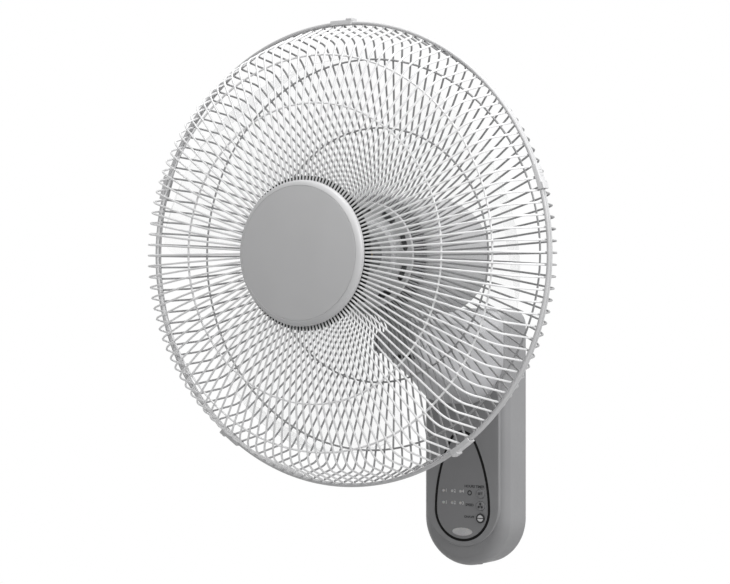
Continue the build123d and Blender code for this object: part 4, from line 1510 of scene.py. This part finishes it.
# ------------------------------------------------------------------ studio
@dataclass
class Studio:
    """Pale floor, soft lights and the camera at the photograph's angle."""

    azimuth: float = 32.25
    distance: float = 2.2
    height: float = 0.1535
    lens: float = 112.1
    sensor: float = 36.0
    shift: float = 0.0295
    air: float = 0.22
    floor_height: float = -1.5
    floor_size: float = 7.0
    floor_tone: float = 0.88
    lit: Triple = (0.0, -0.2, 0.15)
    lamps: tuple[tuple[str, Triple, float, float], ...] = (
        ("key_right", (2.8, -0.4, 1.3), 1.3, 66.0),
        ("front_soft", (0.4, -2.6, 2.0), 1.5, 38.0),
        ("top_soft", (0.5, -0.1, 2.4), 1.2, 46.0),
    )

    def build(self) -> None:
        """Set up everything around the fan."""
        self._world()
        self._floor()
        self._lights()
        self._camera()
        bpy.context.scene.view_settings.view_transform = "Standard"

    def _world(self) -> None:
        """Even pale surround: white to the camera and in reflections, softer as a light."""
        world = bpy.data.worlds.new("studio_air")
        bpy.context.scene.world = world
        world.use_nodes = True
        nodes, links = world.node_tree.nodes, world.node_tree.links
        nodes.clear()
        path = nodes.new("ShaderNodeLightPath")
        seen = path.outputs["Is Camera Ray"]
        for kind in ("Is Transmission Ray", "Is Glossy Ray"):
            either = nodes.new("ShaderNodeMath")
            either.operation = "MAXIMUM"
            links.new(seen, either.inputs[0])
            links.new(path.outputs[kind], either.inputs[1])
            seen = either.outputs["Value"]
        mix = nodes.new("ShaderNodeMixShader")
        links.new(seen, mix.inputs["Fac"])
        for place, strength in enumerate((self.air, 1.0), start=1):
            air = nodes.new("ShaderNodeBackground")
            air.inputs["Color"].default_value = (1.0, 1.0, 1.0, 1.0)
            air.inputs["Strength"].default_value = strength
            links.new(air.outputs["Background"], mix.inputs[place])
        output = nodes.new("ShaderNodeOutputWorld")
        links.new(mix.outputs["Shader"], output.inputs["Surface"])

    def _floor(self) -> None:
        """Pale floor well below the fan."""
        half = self.floor_size / 2
        mesh = bpy.data.meshes.new("studio_floor")
        corners = [(-half, -half), (half, -half), (half, half), (-half, half)]
        mesh.from_pydata([(x, y, self.floor_height) for x, y in corners], [], [(0, 1, 2, 3)])
        floor = bpy.data.objects.new("studio_floor", mesh)
        bpy.context.scene.collection.objects.link(floor)
        sheet = Sheet("pale_floor")
        tone = self.floor_tone
        sheet.tint(sheet.noise(Noise(3.0)), (tone, tone, tone), (0.86 / tone, 0.9 / tone))
        sheet.set((("Roughness", 0.9),))
        mesh.materials.append(sheet.material)

    def _lights(self) -> None:
        """Large soft lamps: one high on the right, one high in front and one overhead."""
        for name, place, size, power in self.lamps:
            light = bpy.data.lights.new(name, "AREA")
            light.size = size
            light.energy = power
            lamp = bpy.data.objects.new(name, light)
            lamp.location = place
            lamp.rotation_mode = "QUATERNION"
            aim = Vector(self.lit) - Vector(place)
            lamp.rotation_quaternion = aim.to_track_quat("-Z", "Y")
            bpy.context.scene.collection.objects.link(lamp)

    def _camera(self) -> None:
        """Level camera on the right of the fan, as in the photograph."""
        turn = math.radians(self.azimuth)
        target = Vector((0.0, HEAD.hoop_y * MM, self.height))
        back = Vector((math.sin(turn), -math.cos(turn), 0.0))
        data = bpy.data.cameras.new("photo_camera")
        data.lens = self.lens
        data.sensor_width = self.sensor
        data.shift_x = self.shift
        camera = bpy.data.objects.new("photo_camera", data)
        camera.rotation_mode = "QUATERNION"
        camera.rotation_quaternion = (-back).to_track_quat("-Z", "Y")
        camera.location = target + back * self.distance
        bpy.context.scene.collection.objects.link(camera)
        bpy.context.scene.camera = camera


def main() -> None:
    """Build and dress the fan, then set up the studio."""
    logging.basicConfig(level=logging.INFO, format="%(name)s %(message)s")
    for kind in (WallBox, ControlPanel, Neck, MotorHead, Propeller, Badge, Clips, Cage):
        kind().build()
        LOG.info("%s built", kind.__name__)
    Studio().build()


if __name__ == "__main__":
    main()
